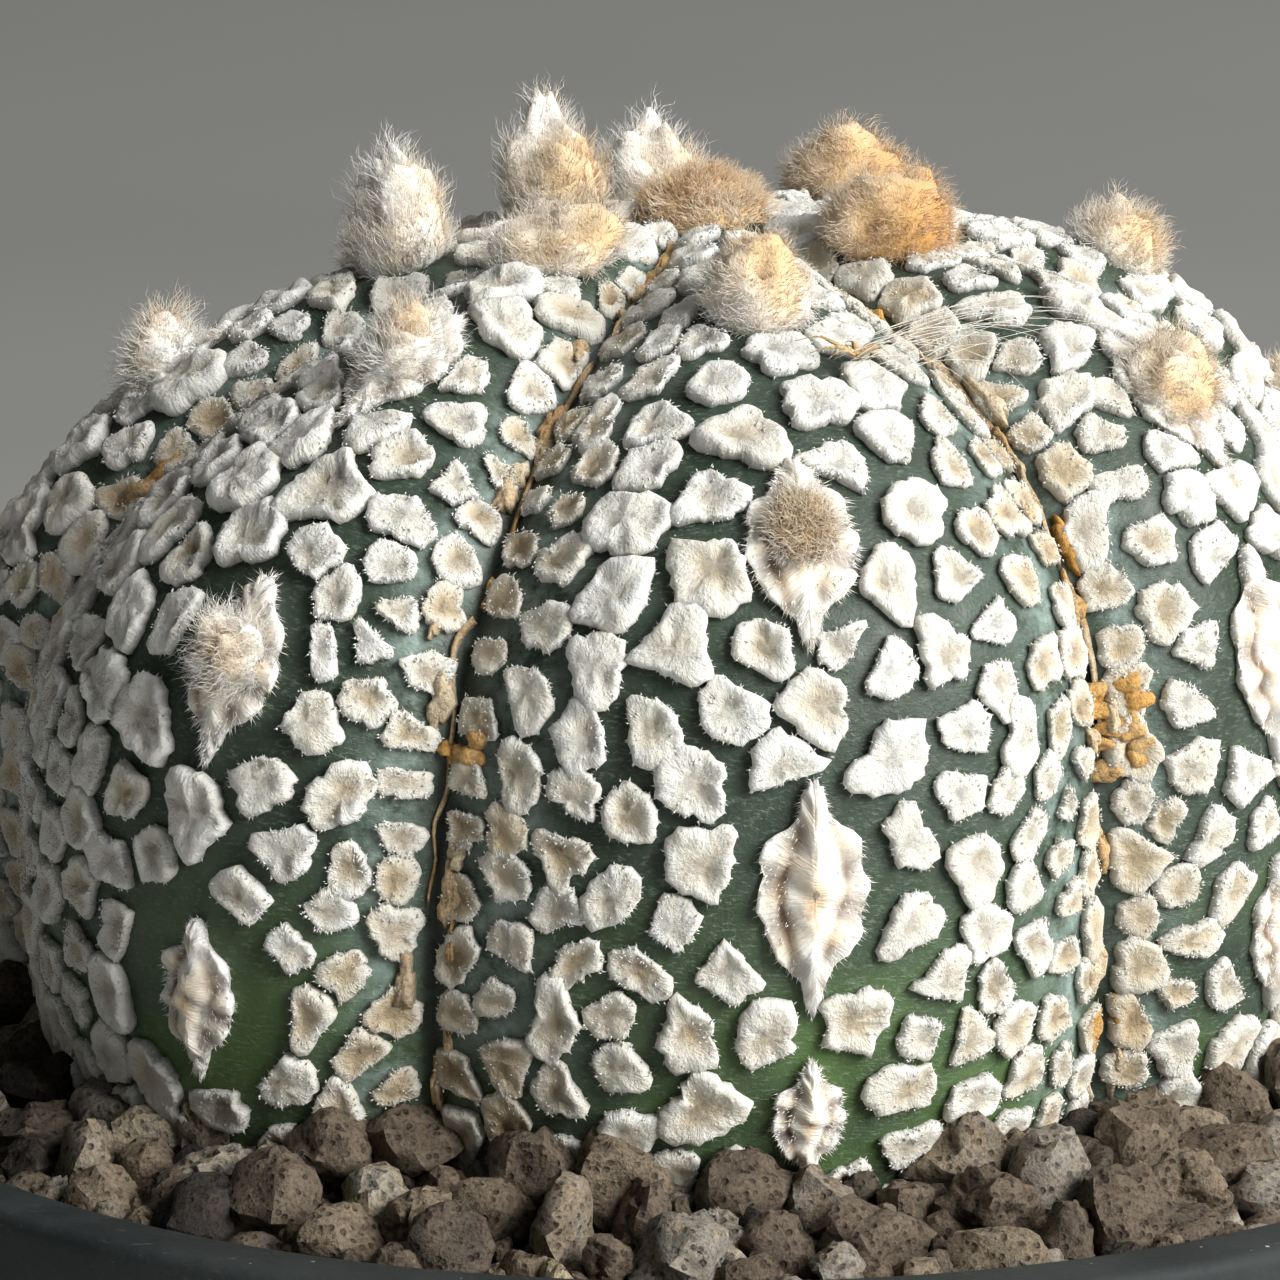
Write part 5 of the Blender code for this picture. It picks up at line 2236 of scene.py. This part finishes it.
    def build(self, material: bpy.types.Material) -> None:
        """Packed stones one by one, then the scattered stones and the grains.

        Args:
            material: finish of the stones.
        """
        middles, halves = [], []
        names = sorted(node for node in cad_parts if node.startswith("stone_"))
        for node in names:
            low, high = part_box(node)
            middles.append((np.array(low) + np.array(high)) / 2)
            halves.append((np.array(high) - np.array(low)) / 2 * 1.06)
        middles, halves = np.array(middles), np.array(halves)
        for k, node in enumerate(names):
            piece = self.stones(f"{node}_porous", middles[k : k + 1], halves[k : k + 1], 26, 36)
            made = piece.build(material, "gravel", 40)
            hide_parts(node)
        taken = np.concatenate([middles, halves.mean(1)[:, None]], axis=1)
        loose, loose_halves = self.scatter(self.scattered * 14, 0.9 * MM, 2.4 * MM, 2.4 * MM, 0.8, taken)
        self.stones("loose_stones", loose, loose_halves, 11, 16).build(material, "gravel", 40)
        taken = np.concatenate([taken, np.concatenate([loose, loose_halves.mean(1)[:, None]], axis=1)])
        taken[:, 3] *= 0.9
        rim, rim_halves = self.scatter(5000, 0.7 * MM, 1.7 * MM, 0.0, 0.04, taken)
        self.stones("rim_stones", rim, rim_halves, 7, 11).build(material, "gravel", 40)
        taken = np.concatenate([taken, np.concatenate([rim, rim_halves.mean(1)[:, None]], axis=1)])
        fine, fine_halves = self.scatter(self.grains * 3, 0.35 * MM, 1.05 * MM, 3.0 * MM, 0.4, taken * [1, 1, 1, 0.75])
        self.stones("loose_grains", fine, fine_halves, 4, 7).build(material, "gravel", 40)


# ---------------------------------------------------------------- pot


@dataclass(frozen=True)
class PlasticPot:
    """The moulded pot: a turned outline with rounded lips, and a ring of drain holes through the floor."""

    rim_depth: float = 11 * MM
    rim_inner: float = 46.2 * MM
    wall: float = 1.6 * MM
    wall_top: float = 47.0 * MM
    foot_radius: float = 34 * MM
    foot_width: float = 4.5 * MM
    floor_height: float = 3.0 * MM
    floor_thickness: float = 2.0 * MM
    centre_drain: float = 4.5 * MM
    ring_drain: float = 3.0 * MM
    ring_circle: float = 18 * MM
    ring_drains: int = 6
    around: int = 288

    def arc(self, r: float, z: float, radius: float, start: float, end: float, steps: int = 6) -> np.ndarray:
        """Points of an arc in the outline, from one angle to another in degrees."""
        angle = np.radians(np.linspace(start, end, steps))
        return np.stack([r + radius * np.cos(angle), z + radius * np.sin(angle)], -1)

    def outline(self, height: float, rim: float) -> np.ndarray:
        """The closed outline of wall, floor, foot and rim, as (radius, height) points.

        Args:
            height: height of the pot.
            rim: radius of the rim.

        Returns:
            The points, in order round the outline.
        """
        under_rim = height - self.rim_depth
        foot_inner = self.foot_radius - self.foot_width
        floor_top = self.floor_height + self.floor_thickness
        slope = (self.wall_top - self.foot_radius) / under_rim
        bend = (self.rim_inner + self.wall - self.foot_radius) / slope
        outside, inside = np.linspace(4, 70, 12) * MM, np.linspace(66, 9, 6) * MM
        parts = [
            self.arc(self.centre_drain + 0.3 * MM, self.floor_height + 0.3 * MM, 0.3 * MM, 180, 270, 4),
            np.array([[foot_inner - 1.2 * MM, self.floor_height]]),
            self.arc(foot_inner, 0.5 * MM, 0.5 * MM, 180, 270, 4),
            self.arc(self.foot_radius - 0.8 * MM, 0.8 * MM, 0.8 * MM, 270, 350, 6),
            np.stack([self.foot_radius + slope * outside, outside], -1),
            self.arc(self.wall_top + 0.35 * MM, under_rim - 0.6 * MM, 0.55 * MM, 180, 100, 4),
            self.arc(rim - 1.0 * MM, under_rim + 0.5 * MM, 0.5 * MM, 270, 350, 4),
            np.stack([np.linspace(rim - 0.42 * MM, rim, 6), np.linspace(under_rim + 1.5 * MM, height - 1 * MM, 6)], -1),
            self.arc(rim - 0.7 * MM, height - 0.7 * MM, 0.7 * MM, 5, 90, 7),
            np.array([[(rim + self.rim_inner) / 2, height]]),
            self.arc(self.rim_inner + 0.7 * MM, height - 0.7 * MM, 0.7 * MM, 90, 180, 7),
            np.array([[self.rim_inner, min(bend, height - 2.5 * MM)]]),
            np.stack([self.foot_radius - self.wall + slope * inside, inside], -1),
            self.arc(self.foot_radius - self.wall - 1.6 * MM, floor_top + 2.2 * MM, 2.0 * MM, 0, -90, 5)
            + [0.25 * MM, -0.2 * MM],
            self.arc(self.centre_drain + 0.3 * MM, floor_top - 0.3 * MM, 0.3 * MM, 90, 180, 4),
        ]
        return np.concatenate(parts)

    def build(self, material: bpy.types.Material) -> bpy.types.Object:
        """Turn the outline round the axis, then drill the ring of drain holes.

        Args:
            material: finish of the piece.

        Returns:
            The linked object.
        """
        lowest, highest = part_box("pot")
        line = self.outline(highest.z - lowest.z, highest.x)
        turn = 2 * math.pi * np.arange(self.around) / self.around
        radius, height = line[:, 0][:, None], line[:, 1][:, None] + lowest.z
        points = np.stack([radius * np.cos(turn), radius * np.sin(turn), height + 0 * turn], -1)
        rows = len(line)
        quads = grid_quads(rows + 1, self.around, True) % (rows * self.around)
        piece = Piece("plastic_pot", points.reshape(-1, 3), quads[:, ::-1], np.zeros((0, 3), int))
        pot = piece.build(material, "pot_plastic", 50)
        for k in range(self.ring_drains):
            azimuth = 2 * math.pi * (k + 0.5) / self.ring_drains
            self.drill(pot, self.ring_circle * math.sin(azimuth), -self.ring_circle * math.cos(azimuth))
        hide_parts("pot")
        return pot

    def drill(self, pot: bpy.types.Object, x: float, y: float) -> None:
        """Cut one round hole through the floor with a closed cylinder, and keep the result as the pot's mesh.

        Args:
            pot: the pot's object.
            x: the hole's place across.
            y: the hole's place in depth.
        """
        turn = 2 * math.pi * np.arange(36) / 36
        ends = np.array([self.floor_height - 3 * MM, self.floor_height + self.floor_thickness + 3 * MM])
        ring = np.stack([x + self.ring_drain * np.cos(turn), y + self.ring_drain * np.sin(turn)], -1)
        points = np.concatenate([np.column_stack([ring, np.full(36, end)]) for end in ends])
        poles = np.array([[x, y, ends[0]], [x, y, ends[1]]])
        drill = closed_disc("drill", points, poles, 2, 36, (0, 0, 0))
        cutter = bpy.data.objects.new("drill", bpy.data.meshes.new("drill"))
        cutter.data.from_pydata(drill.points.tolist(), [], drill.quads.tolist() + drill.tris.tolist())
        bpy.context.scene.collection.objects.link(cutter)
        cut = pot.modifiers.new("drain", "BOOLEAN")
        cut.operation = "DIFFERENCE"
        cut.object = cutter
        graph = bpy.context.evaluated_depsgraph_get()
        bored = bpy.data.meshes.new_from_object(pot.evaluated_get(graph))
        pot.modifiers.remove(cut)
        pot.data = bored
        bpy.data.objects.remove(cutter)


# ---------------------------------------------------------------- studio


@dataclass(frozen=True)
class Lamp:
    """A square soft light: its azimuth and elevation from the stem in degrees, its width, power and colour."""

    name: str
    azimuth: float
    elevation: float
    size: float
    power: float
    colour: tuple


@dataclass(frozen=True)
class Studio:
    """Floor, lights and camera."""

    lamps: tuple = (
        Lamp("key", 55, 29, 1.4, 100.0, (1.0, 0.99, 0.97)),
        Lamp("top", 120, 66, 1.4, 12.0, (1.0, 0.99, 0.98)),
        Lamp("fill", 16, 24, 1.8, 2.2, (0.96, 0.98, 1.0)),
    )

    elevation: float = math.radians(12)
    distance: float = 0.3
    aim: tuple[float, float] = (-3.2 * MM, 105.5 * MM)
    lens: float = 156.7
    light_distance: float = 2.2
    room: tuple = (0.029, 0.03, 0.029)
    # Floor colour by distance over two metres: pale round the pot, grey further out, then painted lighter far out where
    # less lamp light reaches.
    floor_shades: tuple = (
        (0.0, (0.62, 0.62, 0.6)),
        (0.08, (0.6, 0.6, 0.58)),
        (0.3, (0.298, 0.298, 0.285)),
        (0.46, (0.31, 0.31, 0.296)),
        (0.6, (0.362, 0.362, 0.346)),
        (0.74, (0.425, 0.425, 0.406)),
        (1.0, (0.515, 0.515, 0.491)),
    )

    def camera(self) -> None:
        """A long lens close to the plant, a little above it, upright and square to the front."""
        data = bpy.data.cameras.new("camera")
        data.lens, data.sensor_width = self.lens, 36.0
        data.clip_start, data.clip_end = 0.01, 20.0
        made = bpy.data.objects.new("camera", data)
        back = Vector((0, -math.cos(self.elevation), math.sin(self.elevation)))
        made.location = Vector((self.aim[0], 0, self.aim[1])) + back * self.distance
        made.rotation_euler = (-back).to_track_quat("-Z", "Y").to_euler()
        bpy.context.scene.collection.objects.link(made)
        bpy.context.scene.camera = made

    def light(self, lamp: Lamp) -> None:
        """Hang one lamp and aim it at the stem.

        Args:
            lamp: the lamp to hang.
        """
        data = bpy.data.lights.new(lamp.name, "AREA")
        data.size, data.energy, data.color = lamp.size, lamp.power, lamp.colour
        a, e = math.radians(lamp.azimuth), math.radians(lamp.elevation)
        way = Vector((math.sin(a) * math.cos(e), -math.cos(a) * math.cos(e), math.sin(e)))
        made = bpy.data.objects.new(lamp.name, data)
        made.location = Vector((0, 0, 0.1)) + way * self.light_distance
        made.rotation_euler = (-way).to_track_quat("-Z", "Y").to_euler()
        made.visible_camera = False
        bpy.context.scene.collection.objects.link(made)

    def floor(self) -> None:
        """A wide floor, pale round the pot, grey further out and painted lighter again towards two metres, where less
        lamp light reaches: painted light.
        """
        around = 96
        radius = np.array([0.05, 0.15, 0.3, 0.5, 0.8, 1.5, 6.0, 30.0])[:, None]
        turn = 2 * math.pi * np.arange(around)[None] / around
        ring = np.stack([radius * np.cos(turn), radius * np.sin(turn), 0 * radius * turn], -1).reshape(-1, 3)
        points = np.concatenate([ring, [[0, 0, 0]]])
        here = np.arange(around)
        centre = np.stack([np.full_like(here, len(ring)), here, (here + 1) % around], -1)
        mesh = bpy.data.meshes.new("floor")
        mesh.from_pydata(points.tolist(), [], grid_quads(len(radius), around, True).tolist() + centre.tolist())
        made = Dresser("floor_paper")
        away = made.tree.nodes.new("ShaderNodeVectorMath")
        away.operation = "LENGTH"
        made.link(made.place, away.inputs[0])
        shade = made.ramp(made.stretch(away.outputs["Value"], 0.0, 2.0), list(self.floor_shades))
        cloudy = made.mix(made.stretch(made.noise(0.3, 2), 0.3, 4.0), shade, (0.5, 0.5, 0.48))
        mesh.materials.append(made.finish(cloudy, 0.95, [(made.noise(1.5 * MM, 3), 0.03 * MM)]))
        made.plain({"Specular IOR Level": 0.1})
        floor = bpy.data.objects.new("floor", mesh)
        bpy.context.scene.collection.objects.link(floor)

    def world(self) -> None:
        """An even grey room."""
        made = bpy.data.worlds.new("room")
        made.use_nodes = True
        shade = made.node_tree.nodes["Background"]
        shade.inputs["Color"].default_value = (*self.room, 1.0)
        shade.inputs["Strength"].default_value = 1.0
        bpy.context.scene.world = made

    def build(self) -> None:
        """Room, floor and lights: a large key from the upper right, a top light, and a weak fill from the front, a
        little to the right.
        """
        self.world()
        self.floor()
        for lamp in self.lamps:
            self.light(lamp)
        bpy.context.scene.view_settings.view_transform = "Standard"


def main() -> None:
    """Build the studio, then every piece of the plant and its pot."""
    logging.basicConfig(level=logging.INFO, format="%(name)s %(message)s")
    studio = Studio()
    studio.camera()
    studio.build()
    shape = StemShape()
    wool = WoolFinish("areole_wool", (0.95, 0.94, 0.91), hollows=(0.95, 0.94, 0.92), sheen=0.45, fuzz=0.03 * MM).make()
    felt = WoolFinish(
        "fleck_felt",
        white=(0.785, 0.795, 0.775),
        cream=(0.655, 0.565, 0.405),
        fibre_depth=0.1 * MM,
        hollows=(0.87, 0.865, 0.83),
        fuzz=0.17 * MM,
    ).make()
    StemSkin(shape).build(SkinFinish().make())
    areoles = areole_table()
    for areole in areoles:
        AreoleWool(shape, areole, np.random.default_rng(100 + 8 * areole.rib + areole.row)).build(wool)
    CrownWool().build(wool, np.random.default_rng(3))
    FleckField(shape, areoles, np.random.default_rng(11)).build(felt)
    papery = PaperyFinish().make()
    GrooveScales(shape).build(papery, np.random.default_rng(5))
    FlowerRemnant(shape).build(papery, wool, np.random.default_rng(6))
    grit = StoneFinish().make()
    Potting(shape).build(StoneFinish("potting_soil").make())
    Gravel(shape, np.random.default_rng(8)).build(grit)
    PlasticPot().build(PlasticFinish().make())


if __name__ == "__main__":
    main()
